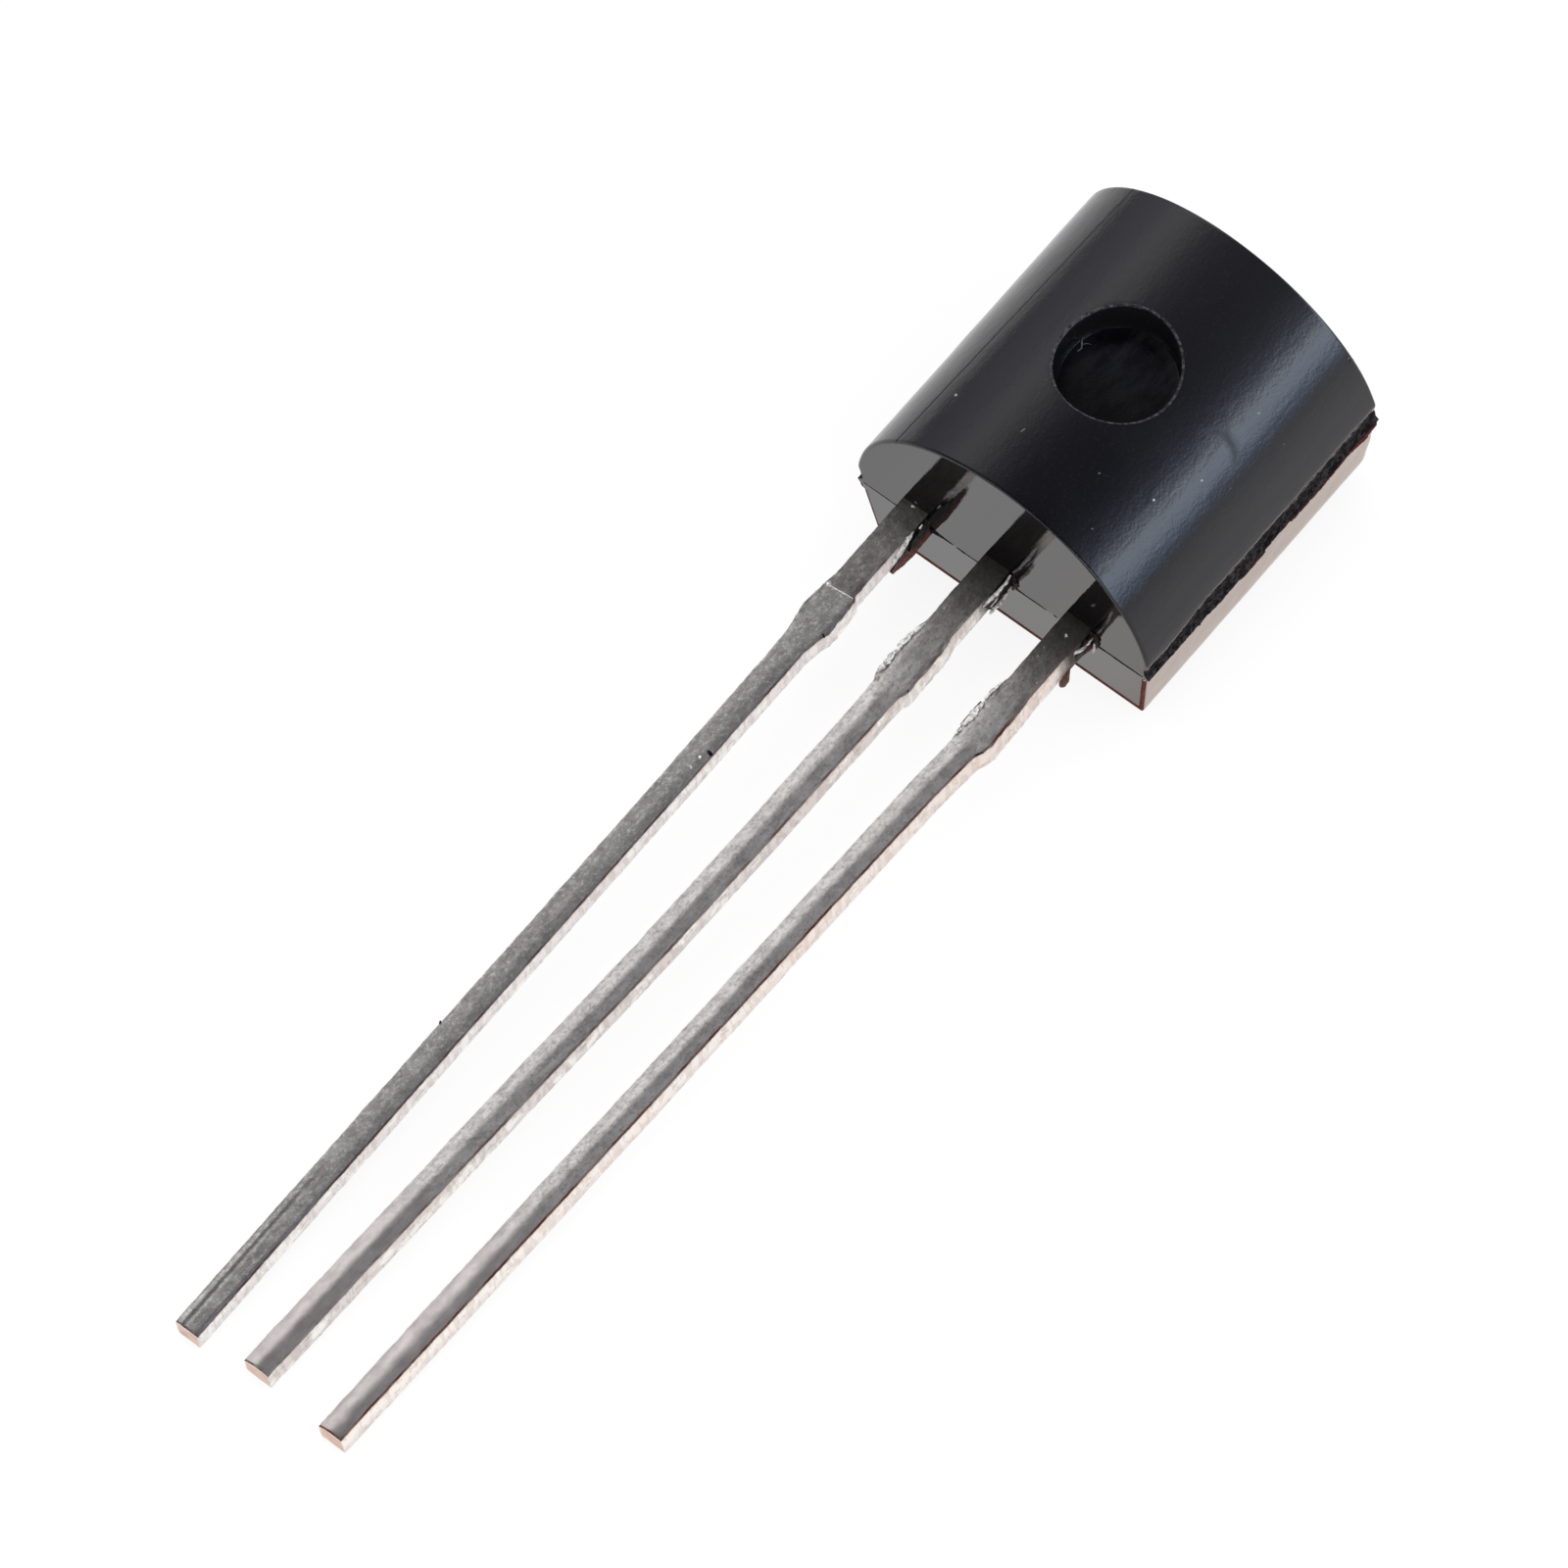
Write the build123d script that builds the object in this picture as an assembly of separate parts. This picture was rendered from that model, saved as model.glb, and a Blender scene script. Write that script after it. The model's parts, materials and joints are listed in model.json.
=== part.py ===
"""A three-lead plastic transistor of the TO-92 outline, lying loose on its flat side.

Every sub-part is drawn in the component's own frame, in millimetres: X runs across the row of
leads, Y runs along the leads towards the top of the case, and Z runs from the flat face to the
round side. There Y = 0 is the lead end of the case and Z = 0 is the parting plane of the mould,
which is also the back face of the lead strip. The finished set is then laid down as the real
part lies: tipped forward until the flat side's lead end and the lead tips touch the table.
"""
import os
from math import asin, atan2, degrees, hypot, radians, tan

from build123d import *

# Moulded case
case_width = 4.55
case_height = 4.48
round_centre_rise = 0.05
flat_side_depth = 1.14
flat_side_draft_deg = 7.0
parting_lip = 0.05
lead_end_draft_deg = 1.9
top_end_draft_deg = 0.9
case_edge_radius = 0.04

# Round mark that the ejector pin leaves in the curved side
pin_mark_diameter = 1.56
pin_mark_depth = 0.55
pin_mark_offset = 0.08
pin_mark_height = 2.27
pin_mark_draft_deg = 3.0

# Lead strip, the same flat stock for all three leads
strip_thickness = 0.35
lead_pitch = 1.27
lead_row_offset = -0.07
neck_width = 0.385
leg_width = 0.375
leg_edge_radius = 0.05

# Stubs where the tie bar between the leads was sheared away
stub_start = 1.28
stub_end = 2.05
stub_width = 0.5
stub_taper = 0.16

# How far each lead reaches below the case, and how far it has been pushed sideways at some
# distances from the case: pairs of distance and shift, the last pair at the tip
lead_lengths = {"base_lead": 13.66, "collector_lead": 13.53, "emitter_lead": 13.63}
lead_sway = {
    "base_lead": [(5.0, 0.02)],
    "collector_lead": [(5.1, -0.02)],
    "emitter_lead": [(2.6, -0.02), (4.6, -0.115)],
}
tip_shift = {"base_lead": 0.025, "collector_lead": -0.27, "emitter_lead": -0.315}
sway_radius = 30.0

# Inner ends of the leads, sealed in the case
stem_length = 1.05
shoulder_height = 0.25
pad_width = 1.7
pad_length = 2.1
pad_gap = 0.22
post_width = 0.6
post_length = 1.75
anchor_radius = 0.14
anchor_height = 0.62

# Silicon die and the film that holds it on the pad
die_side = 0.55
die_thickness = 0.2
attach_thickness = 0.03
attach_margin = 0.05
die_height = 2.35

# Bond wires, from the contacts on the die to the two posts
wire_diameter = 0.05
ball_diameter = 0.13
ball_thickness = 0.04
contact_spread = 0.26
loop_rise = 0.3
stitch_length = 0.2
stitch_width = 0.11
stitch_thickness = 0.03
stitch_clearance = 0.005
wire_bend_radius = 0.12
post_bond_height = 2.5

# Values that follow from the sizes above
case_half_width = case_width / 2
half_lip = case_half_width - parting_lip
half_flat = half_lip - flat_side_depth * tan(radians(flat_side_draft_deg))
round_radius = hypot(case_half_width, round_centre_rise)
crown_height = round_centre_rise + round_radius
lead_end_slope = tan(radians(lead_end_draft_deg))
top_end_slope = tan(radians(top_end_draft_deg))
pad_start = stem_length + shoulder_height
post_inner_edge = pad_width / 2 + pad_gap
post_outer_edge = post_inner_edge + post_width
lead_centre = {
    "base_lead": lead_row_offset - lead_pitch,
    "collector_lead": lead_row_offset,
    "emitter_lead": lead_row_offset + lead_pitch,
}
attach_top = strip_thickness + attach_thickness
die_top = attach_top + die_thickness


def case_section():
    """The case seen along the leads: a round half above the parting plane, a flat half below."""
    with BuildSketch(Plane.XZ) as section:
        with BuildLine():
            Polyline(
                (-case_half_width, 0),
                (-half_lip, 0),
                (-half_flat, -flat_side_depth),
                (half_flat, -flat_side_depth),
                (half_lip, 0),
                (case_half_width, 0),
            )
            ThreePointArc((case_half_width, 0), (0, crown_height), (-case_half_width, 0))
        make_face()
    return section.sketch


def case_side_view():
    """The case seen from its side: both ends lean in from the parting plane for release."""
    with BuildSketch(Plane.YZ) as view:
        with BuildLine():
            Polyline(
                (0, 0),
                (lead_end_slope * crown_height, crown_height),
                (case_height - top_end_slope * crown_height, crown_height),
                (case_height, 0),
                (case_height - top_end_slope * flat_side_depth, -flat_side_depth),
                (lead_end_slope * flat_side_depth, -flat_side_depth),
                close=True,
            )
        make_face()
    return view.sketch


def pin_mark():
    """The blind round mark, open towards the curved side and slightly wider at its mouth."""
    slope = tan(radians(pin_mark_draft_deg))
    floor = Plane((pin_mark_offset, pin_mark_height, crown_height - pin_mark_depth))
    floor_radius = pin_mark_diameter / 2 - pin_mark_depth * slope
    cut_height = 2 * pin_mark_depth
    mouth = floor.offset(cut_height)
    return loft([floor * Circle(floor_radius), mouth * Circle(floor_radius + cut_height * slope)])


def case_blank():
    """The moulded case before the room for the metal parts is taken out of it."""
    along = extrude(case_section(), amount=-case_height)
    across = extrude(case_side_view(), amount=case_width, both=True)
    blank = along & across
    off_parting_line = [e for e in blank.edges() if abs(e.center().Z) > case_edge_radius]
    return fillet(off_parting_line, case_edge_radius) - pin_mark()


def strip(outline):
    """Stamp a flat outline out of the lead strip."""
    return extrude(outline, amount=strip_thickness)


def rectangle_between(left, right, low, high):
    """A rectangle given by its four sides."""
    return Pos((left + right) / 2, (low + high) / 2) * Rectangle(right - left, high - low)


def stub_outline(centre):
    """The wider stretch of a lead where the tie bar was sheared off on both sides."""
    half_neck = min(neck_width, leg_width) / 2
    half_stub = stub_width / 2
    return Polygon(
        (centre - half_neck, -stub_start + stub_taper),
        (centre - half_stub, -stub_start),
        (centre - half_stub, -stub_end),
        (centre - half_neck, -stub_end - stub_taper),
        (centre + half_neck, -stub_end - stub_taper),
        (centre + half_stub, -stub_end),
        (centre + half_stub, -stub_start),
        (centre + half_neck, -stub_start + stub_taper),
        align=None,
    )


def leg_outline(name):
    """The long leg below the stub, with the slight sideways bends it has picked up."""
    centre = lead_centre[name]
    start = (centre, -(stub_start + stub_end) / 2)
    bends = [(centre + shift, -distance) for distance, shift in lead_sway[name] if -distance < start[1]]
    tip = (centre + tip_shift[name], -lead_lengths[name])
    route = [start, *bends, tip]
    half = leg_width / 2
    left = [(x - half, y) for x, y in route]
    right = [(x + half, y) for x, y in route]
    with BuildSketch() as outline:
        with BuildLine():
            FilletPolyline(*left, radius=sway_radius)
            FilletPolyline(*right, radius=sway_radius)
            Line(left[0], right[0])
            Line(left[-1], right[-1])
        make_face()
    return outline.sketch


def neck_and_stub(centre):
    """The outline of a lead from inside the case down to its sheared stub."""
    half = neck_width / 2
    neck = rectangle_between(centre - half, centre + half, -(stub_start + stub_end) / 2, stem_length)
    return neck + stub_outline(centre)


def anchor_notches(centre):
    """Half-round bites in both sides of a stem, which the plastic grips."""
    reach = neck_width / 2 + anchor_radius / 2
    bites = [Pos(centre + side * reach, anchor_height) * Circle(anchor_radius) for side in (-1, 1)]
    return bites[0] + bites[1]


def leg(name):
    """The long leg, with the softened edges that rolling and tinning leave."""
    bar = strip(leg_outline(name))
    long_edges = [e for e in bar.edges() if e.bounding_box().size.Y > leg_edge_radius]
    return fillet(long_edges, leg_edge_radius)


def shoulder_outline(centre, left, right):
    """The slanted step where a stem widens to its pad or post."""
    half_neck = neck_width / 2
    return Polygon(
        (centre - half_neck, stem_length),
        (centre + half_neck, stem_length),
        (right, pad_start),
        (left, pad_start),
        align=None,
    )


def collector_lead():
    """The middle lead, whose inner end is the pad that carries the die."""
    centre = lead_centre["collector_lead"]
    half_pad = pad_width / 2
    shoulder = shoulder_outline(centre, centre - half_pad, centre + half_pad)
    pad = rectangle_between(centre - half_pad, centre + half_pad, pad_start, pad_start + pad_length)
    outline = neck_and_stub(centre) - anchor_notches(centre) + shoulder + pad
    return strip(outline) + leg("collector_lead")


def post_lead(name, side):
    """An outer lead, whose inner end is a narrow post beside the pad; side is -1 or 1."""
    centre = lead_centre[name]
    middle = lead_centre["collector_lead"]
    left, right = sorted((middle + side * post_inner_edge, middle + side * post_outer_edge))
    shoulder = shoulder_outline(centre, left, right)
    post = rectangle_between(left, right, pad_start, pad_start + post_length)
    outline = neck_and_stub(centre) - anchor_notches(centre) + shoulder + post
    return strip(outline) + leg(name)


def flat_block(width, length, thickness, low_z):
    """A flat rectangular piece centred on the pad at the die's place."""
    place = Pos(lead_centre["collector_lead"], die_height, low_z)
    block = Box(width, length, thickness, align=(Align.CENTER, Align.CENTER, Align.MIN))
    return place * block


def die_attach():
    """The film of solder between the pad and the die."""
    side = die_side + 2 * attach_margin
    return flat_block(side, side, attach_thickness, strip_thickness)


def silicon_die():
    """The transistor chip itself."""
    return flat_block(die_side, die_side, die_thickness, attach_top)


def bond_wire(side):
    """A wire from a contact on the die, up and over to a post; side is -1 or 1."""
    middle = lead_centre["collector_lead"]
    contact = Vector(middle + side * contact_spread / 2, die_height, die_top)
    post_middle = middle + side * (post_inner_edge + post_outer_edge) / 2
    landing = Vector(post_middle, post_bond_height, strip_thickness)
    across = Vector(landing.X - contact.X, landing.Y - contact.Y, 0)
    upright = Plane(contact, x_dir=across, z_dir=across.cross(Vector(0, 0, 1)))
    run = across.length
    tail_height = strip_thickness - die_top + wire_diameter / 2 + stitch_clearance
    points = [
        (0, ball_thickness / 2),
        (0, loop_rise),
        (run - stitch_length / 2, tail_height),
        (run, tail_height),
    ]
    with BuildLine(upright) as route:
        FilletPolyline(*points, radius=wire_bend_radius)
    start = Plane(route.line @ 0, z_dir=route.line % 0)
    wire = sweep(start * Circle(wire_diameter / 2), path=route.line)
    bottom = (Align.CENTER, Align.CENTER, Align.MIN)
    ball = Pos(contact) * Cylinder(ball_diameter / 2, ball_thickness, align=bottom)
    heading = degrees(atan2(across.Y, across.X))
    stitch = Pos(landing) * Rot(Z=heading) * Box(stitch_length, stitch_width, stitch_thickness, align=bottom)
    return wire + ball + stitch


def rest_tilt_deg():
    """The forward lean at which the flat side's lead end and the lead tips share one plane."""
    reach = max(lead_lengths.values()) + lead_end_slope * flat_side_depth + case_edge_radius
    drop = flat_side_depth - case_edge_radius
    return degrees(atan2(drop, reach) + asin(case_edge_radius / hypot(drop, reach)))


def build():
    """All sub-parts by name, lying on the table with the origin under the middle."""
    metal = {
        "collector_lead": collector_lead(),
        "base_lead": post_lead("base_lead", -1),
        "emitter_lead": post_lead("emitter_lead", 1),
        "die_attach": die_attach(),
        "silicon_die": silicon_die(),
        "base_bond_wire": bond_wire(-1),
        "emitter_bond_wire": bond_wire(1),
    }
    case = case_blank()
    for piece in metal.values():
        case = case - piece
    nodes = {"epoxy_case": case, **metal}
    lean = Rot(X=rest_tilt_deg())
    nodes = {name: lean * shape for name, shape in nodes.items()}
    box = Compound(children=[Part(shape.wrapped) for shape in nodes.values()]).bounding_box()
    place = Pos(-box.center().X, -box.center().Y, -box.min.Z)
    return {name: place * shape for name, shape in nodes.items()}


os.makedirs("parts", exist_ok=True)
for node, solid in build().items():
    export_step(solid, f"parts/{node}.step")
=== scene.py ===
"""Looks of a moulded three-lead transistor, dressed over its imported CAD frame.

Shapes are drawn in the component's own frame, in millimetres: X runs across the row of leads, Y
runs along them towards the top of the case, Z runs from the flat side to the round side, Y = 0 is
the lead end of the case and Z = 0 its parting plane. TO_ROW then lays them down in the row frame,
in metres, leaning as the part rests on the table.
"""

import json
from math import acos, atan2, ceil, cos, degrees, hypot, pi, radians, sin, sqrt, tan

import bmesh
import bpy
import numpy as np
from mathutils import Matrix, Vector, noise


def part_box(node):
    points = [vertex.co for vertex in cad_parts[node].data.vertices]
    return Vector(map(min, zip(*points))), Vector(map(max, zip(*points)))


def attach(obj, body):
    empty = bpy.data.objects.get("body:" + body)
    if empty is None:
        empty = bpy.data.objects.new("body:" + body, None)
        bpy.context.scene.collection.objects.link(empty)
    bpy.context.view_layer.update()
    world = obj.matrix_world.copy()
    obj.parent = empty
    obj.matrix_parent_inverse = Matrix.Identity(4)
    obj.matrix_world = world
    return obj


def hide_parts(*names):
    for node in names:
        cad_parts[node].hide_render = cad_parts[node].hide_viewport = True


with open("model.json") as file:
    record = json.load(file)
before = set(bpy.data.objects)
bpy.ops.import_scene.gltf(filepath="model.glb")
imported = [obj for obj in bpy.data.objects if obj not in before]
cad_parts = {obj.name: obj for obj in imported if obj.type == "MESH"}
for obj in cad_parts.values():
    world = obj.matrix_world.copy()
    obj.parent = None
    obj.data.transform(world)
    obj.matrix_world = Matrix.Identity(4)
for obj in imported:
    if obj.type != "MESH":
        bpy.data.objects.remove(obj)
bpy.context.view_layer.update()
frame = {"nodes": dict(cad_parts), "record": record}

# One millimetre in metres
MM = 0.001

# Sizes of the moulded case, in millimetres
CASE_WIDTH = 4.55
CASE_HEIGHT = 4.48
CENTRE_RISE = 0.05
FLAT_DEPTH = 1.14
FLAT_DRAFT = tan(radians(7.0))
LIP = 0.05
LEAD_END_SLOPE = tan(radians(1.9))
TOP_END_SLOPE = tan(radians(0.9))
EDGE_RADIUS = 0.04
HALF_WIDTH = CASE_WIDTH / 2
ROUND_RADIUS = hypot(HALF_WIDTH, CENTRE_RISE)
HALF_LIP = HALF_WIDTH - LIP

# Round mark of the ejector pin
MARK_X = 0.08
MARK_Y = 2.27
MARK_RADIUS = 0.78
MARK_DEPTH = 0.55
MARK_FLOOR = CENTRE_RISE + ROUND_RADIUS - MARK_DEPTH
MARK_DRAFT = tan(radians(3.0))
MARK_RIM = 0.03

# Lines left by the mould: a step along the left of the round side, and a curved flow line
WITNESS_X = -1.580
WITNESS_DRIFT = 0.0394
FLOW_ANGLE = radians(44)
FLOW_TOP = 2.51
FLOW_BEND = 1.7

# Lead strip
STRIP = 0.35
NECK = 0.385
LEAD_CENTRES = {"base_lead": -1.34, "collector_lead": -0.07, "emitter_lead": 1.20}

# The part leans forward on its flat side until the lead tips touch the table
rest_axis = next(m["axis"] for m in frame["record"]["mounts"] if m["name"] == "flat_side")
LEAN = atan2(rest_axis[1], -rest_axis[2])
base_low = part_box("base_lead")[0]
BASE_LENGTH = 0.01366
end_y = base_low.y + BASE_LENGTH * cos(LEAN) + STRIP * MM * sin(LEAN)
SHIFT = (0.0, end_y, base_low.z + BASE_LENGTH * sin(LEAN))
TO_ROW = Matrix.Translation(SHIFT) @ Matrix.Rotation(LEAN, 4, "X") @ Matrix.Scale(MM, 4)


def ripple(point, scale, seed):
    """Smooth repeatable noise, about -1 to 1, at a place on the part."""
    place = Vector(point) * scale + Vector((seed * 17.3, seed * 5.1, seed * 9.7))
    return noise.fractal(place, 0.9, 2.1, 4)


def step(value, low, high):
    """0 below low, 1 above high, and a smooth rise between."""
    t = min(1.0, max(0.0, (value - low) / (high - low)))
    return t * t * (3 - 2 * t)


# Materials

# Sockets of the mix node when it mixes colours, and where most of a noise's values lie
MIX_A, MIX_B, MIX_RESULT = 6, 7, 2
MOST = (0.3, 0.7)


class Tree:
    """A node tree, with short calls for its nodes."""

    def __init__(self, owner, clear=False):
        owner.use_nodes = True
        self.tree = owner.node_tree
        if clear:
            self.tree.nodes.clear()

    def put(self, socket, value):
        """Link a socket to another one, or give it a value."""
        if isinstance(value, bpy.types.NodeSocket):
            self.tree.links.new(value, socket)
        else:
            socket.default_value = (*value, 1.0) if socket.type == "RGBA" else value

    def node(self, kind, inputs=None, out=0, **settings):
        """A new node, with the values or links of its inputs, as one of its outputs."""
        node = self.tree.nodes.new("ShaderNode" + kind)
        for name, value in settings.items():
            setattr(node, name, value)
        for name, value in (inputs or {}).items():
            self.put(node.inputs[name], value)
        return node.outputs[out] if node.outputs else None

    def math(self, operation, *values):
        return self.node("Math", dict(enumerate(values)), operation=operation)

    def times(self, a, b):
        return self.math("MULTIPLY", a, b)

    def span(self, value, low, high, out_low=0.0, out_high=1.0, **settings):
        """A value's range spread over another, and held at its ends."""
        inputs = {"Value": value, "From Min": low, "From Max": high, "To Min": out_low, "To Max": out_high}
        return self.node("MapRange", inputs, **settings)

    def mix(self, share, a, b):
        """One colour changing to another."""
        return self.node("Mix", {"Factor": share, MIX_A: a, MIX_B: b}, MIX_RESULT, data_type="RGBA")

    def ramp(self, share, stops, interpolation="LINEAR"):
        """Colours through (place, colour) stops, as shares of the strongest."""
        node = self.node("ValToRGB", {0: share}).node
        node.color_ramp.interpolation = interpolation
        elements = node.color_ramp.elements
        elements.remove(elements[-1])
        low, high = stops[0][0], stops[-1][0]
        for index, (place, colour) in enumerate(stops):
            element = elements.new((place - low) / (high - low)) if index else elements[0]
            element.color = (*(c / strongest(stops) for c in colour), 1)
        return node.outputs["Color"]


def strongest(stops):
    return max(max(colour) for _, colour in stops)


class Shader(Tree):
    """A material's nodes, with calls for what the surfaces here use."""

    def __init__(self, name):
        self.material = bpy.data.materials.new(name)
        super().__init__(self.material)
        lay = {"Vector": self.node("TexCoord", out="Object"), "Location": SHIFT, "Rotation": (LEAN, 0, 0)}
        self.place = self.node("Mapping", {**lay, "Scale": (MM, MM, MM)}, vector_type="TEXTURE")

    def stretch(self, *shares):
        """The place on the part, in millimetres, stretched for grain that runs one way."""
        return self.node("VectorMath", {0: self.place, 1: shares}, operation="MULTIPLY")

    def coordinate(self, axis):
        """One of the three distances, in millimetres."""
        return self.node("SeparateXYZ", {0: self.place}, axis)

    def noise(self, scale, detail=4.0, place=None, roughness=0.55):
        inputs = {"Vector": place or self.place, "Scale": scale, "Detail": detail, "Roughness": roughness}
        return self.node("TexNoise", inputs, "Fac")

    def cells(self, scale):
        """Distance to the nearest of many scattered points."""
        return self.node("TexVoronoi", {"Vector": self.place, "Scale": scale}, "Distance")

    def relief(self, height, strength, depth, under=None):
        """Small height differences, depth in millimetres."""
        inputs = {"Strength": strength, "Distance": depth * MM, "Height": height}
        return self.node("Bump", {**inputs, "Normal": under} if under else inputs)

    def finish(self, colour, roughness, relief=None, **constants):
        surface = self.tree.nodes["Principled BSDF"]
        for name, value in constants.items():
            self.put(surface.inputs[name.replace("_", " ")], value)
        for name, value in (("Base Color", colour), ("Roughness", roughness), ("Normal", relief)):
            if value:
                self.put(surface.inputs[name], value)
        return self.material


def grained(name, scale, detail, spread, colours, rough, relief=None, stretch=(1, 1, 1), roughness=0.55,
            **constants):
    """A surface whose colour, roughness and relief all follow one noise."""
    s = Shader(name)
    grain = s.noise(scale, detail, s.stretch(*stretch), roughness)
    colour = s.mix(s.span(grain, *spread), *colours)
    return s.finish(colour, s.span(grain, *MOST, *rough), relief and s.relief(grain, *relief), **constants)


def moulded_epoxy():
    """Satin black moulding compound: fine grain that breaks up its highlights, scuffs round the
    case, painted light that makes it lighter towards the top end, a witness line along the left
    and one flow line on the right."""
    s = Shader("moulded_epoxy")
    blotch = s.noise(1.3, 3)
    grain = s.noise(9, 3, s.stretch(1.0, 0.5, 1.0))
    fine = s.noise(26, 3)
    scuffs = s.noise(5.0, 5, s.stretch(0.6, 5.0, 0.6), 0.6)
    # Painted light: the colour grows lighter towards the top end, as if the light fell stronger there
    painted_top_light = s.span(s.coordinate("Y"), 0.0, CASE_HEIGHT)
    colour = s.mix(s.span(blotch, 0.35, 0.7), (0.0028, 0.0028, 0.0040), (0.0044, 0.0044, 0.0056))
    colour = s.mix(painted_top_light, colour, (0.0095, 0.0095, 0.0110))
    colour = s.mix(s.span(fine, 0.58, 0.72, 0.0, 0.30), colour, (0.022, 0.022, 0.024))
    rough = s.math("ADD", s.span(blotch, 0.3, 0.75, 0.06, 0.10), s.span(scuffs, 0.5, 0.75, 0.0, 0.07))
    rough = s.math("ADD", rough, s.times(flow_line(s), 0.38))
    relief = s.relief(fine, 0.6, 0.004, s.relief(grain, 0.38, 0.009))
    return s.finish(colour, rough, s.relief(witness_line(s), 1.0, 0.007, relief), IOR=1.5)


def witness_line(s):
    """A low step along the left of the round side: its place in X drifts along the case."""
    drift = s.times(s.coordinate("Y"), WITNESS_DRIFT)
    across = s.math("SUBTRACT", s.math("SUBTRACT", s.coordinate("X"), WITNESS_X), drift)
    return s.times(s.span(across, -0.022, 0.0, 1.0, 0.0), s.span(across, -0.5, -0.05))


def flow_line(s):
    """A dull curved line where two fronts of plastic met while the mould filled."""
    angle = s.math("ARCTAN2", s.coordinate("X"), s.math("SUBTRACT", s.coordinate("Z"), CENTRE_RISE))
    across = s.math("ABSOLUTE", s.times(s.math("SUBTRACT", angle, FLOW_ANGLE), ROUND_RADIUS))
    sag = s.times(s.times(across, across), FLOW_BEND)
    off = s.math("ABSOLUTE", s.math("ADD", s.math("SUBTRACT", s.coordinate("Y"), FLOW_TOP), sag))
    off = s.math("ADD", off, s.span(s.noise(9, 3), *MOST, -0.03, 0.03))
    return s.times(s.span(off, 0.010, 0.120, 1.0, 0.0), s.span(across, 0.24, 0.42, 1.0, 0.0))


def mark_bottom():
    """The bottom of the round mark, where the ejector pin left the plastic duller, with painted shade
    from its wall on the side towards the lead end.
    """
    s = Shader("mark_bottom")
    cloud = s.noise(3.4, 5, s.stretch(1.5, 0.6, 1.0))
    colour = s.mix(s.span(cloud, 0.42, 0.66), (0.0016, 0.0016, 0.0026), (0.0070, 0.0074, 0.0090))
    # Painted shade: darker on the side towards the lead end, where the mark's wall shades its bottom
    colour = s.mix(s.span(s.coordinate("Y"), 1.6, 2.5), (0.0006, 0.0006, 0.0009), colour)
    return s.finish(colour, s.span(cloud, *MOST, 0.13, 0.24), s.relief(s.noise(16, 4), 0.5, 0.008), IOR=1.30)


def moulded_end():
    """The flat ends of the case: the same compound with a mirror skin from the polished mould."""
    s = Shader("moulded_end")
    blotch = s.noise(2.0, 4)
    grain = s.noise(30, 3)
    colour = s.mix(s.span(blotch, 0.35, 0.7), (0.0028, 0.0026, 0.0027), (0.0050, 0.0047, 0.0047))
    colour = s.mix(s.span(grain, 0.35, 0.75, 0.0, 0.5), colour, (0.010, 0.0093, 0.0093))
    rough = s.span(blotch, 0.3, 0.75, 0.025, 0.05)
    return s.finish(colour, rough, s.relief(grain, 0.15, 0.003), IOR=1.59, Specular_Tint=(1.0, 0.965, 0.975))


def end_rim():
    """The lower edges of the lead end, where the plastic is rubbed thin and looks red-brown."""
    s = Shader("end_rim")
    patch = s.noise(7, 4)
    colour = s.mix(s.span(patch, 0.35, 0.65), (0.14, 0.050, 0.038), (0.26, 0.105, 0.085))
    colour = s.mix(s.span(s.coordinate("Z"), -1.125, -1.075), (0.040, 0.010, 0.009), colour)
    return s.finish(colour, s.span(patch, *MOST, 0.75, 0.95), s.relief(patch, 0.4, 0.01), IOR=1.06)


def flat_half_side():
    """The sides below the parting line, smooth enough to mirror the white ground, with a pinkish colour
    far paler than the black compound, painted in as the ground they mirror.
    """
    s = Shader("flat_half_side")
    blotch = s.noise(4.0, 4, s.stretch(1, 0.4, 1))
    # Painted reflection: a pinkish tint, far paler than the black compound, for the ground these sides mirror
    colour = s.mix(s.span(blotch, *MOST), (0.045, 0.022, 0.018), (0.070, 0.036, 0.030))
    rough, relief = s.span(blotch, *MOST, 0.10, 0.18), s.relief(s.noise(18, 4), 0.2, 0.005)
    return s.finish(colour, rough, relief, IOR=1.55, Coat_Weight=0.8, Coat_Roughness=0.12)


def thin_flash():
    """The thinnest flash at the parting line's lower edge: dark red where light comes through."""
    s = Shader("thin_flash")
    patch = s.noise(5.5, 5)
    ragged = s.span(s.coordinate("Y"), 1.6, 3.2, -0.10, 0.14)
    red = s.span(s.math("ADD", patch, ragged), 0.42, 0.54)
    colour = s.mix(red, (0.006, 0.0035, 0.004), (0.115, 0.006, 0.008))
    return s.finish(colour, s.span(patch, *MOST, 0.5, 0.75), s.relief(patch, 0.7, 0.02), IOR=1.2)


def torn_resin():
    """Resin squeezed out round the leads: black and glossy, red-brown where it hangs thin."""
    s = Shader("torn_resin")
    grit = s.noise(15, 5)
    thin = s.times(s.span(s.coordinate("Z"), -0.07, 0.06, 1.0, 0.0), s.span(grit, 0.30, 0.42))
    colour = s.mix(s.span(grit, 0.48, 0.74), (0.0032, 0.0026, 0.0025), (0.045, 0.036, 0.032))
    colour = s.mix(thin, colour, (0.17, 0.035, 0.026))
    return s.finish(colour, s.span(grit, *MOST, 0.32, 0.60), s.relief(grit, 1.0, 0.03), IOR=1.22)


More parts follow.
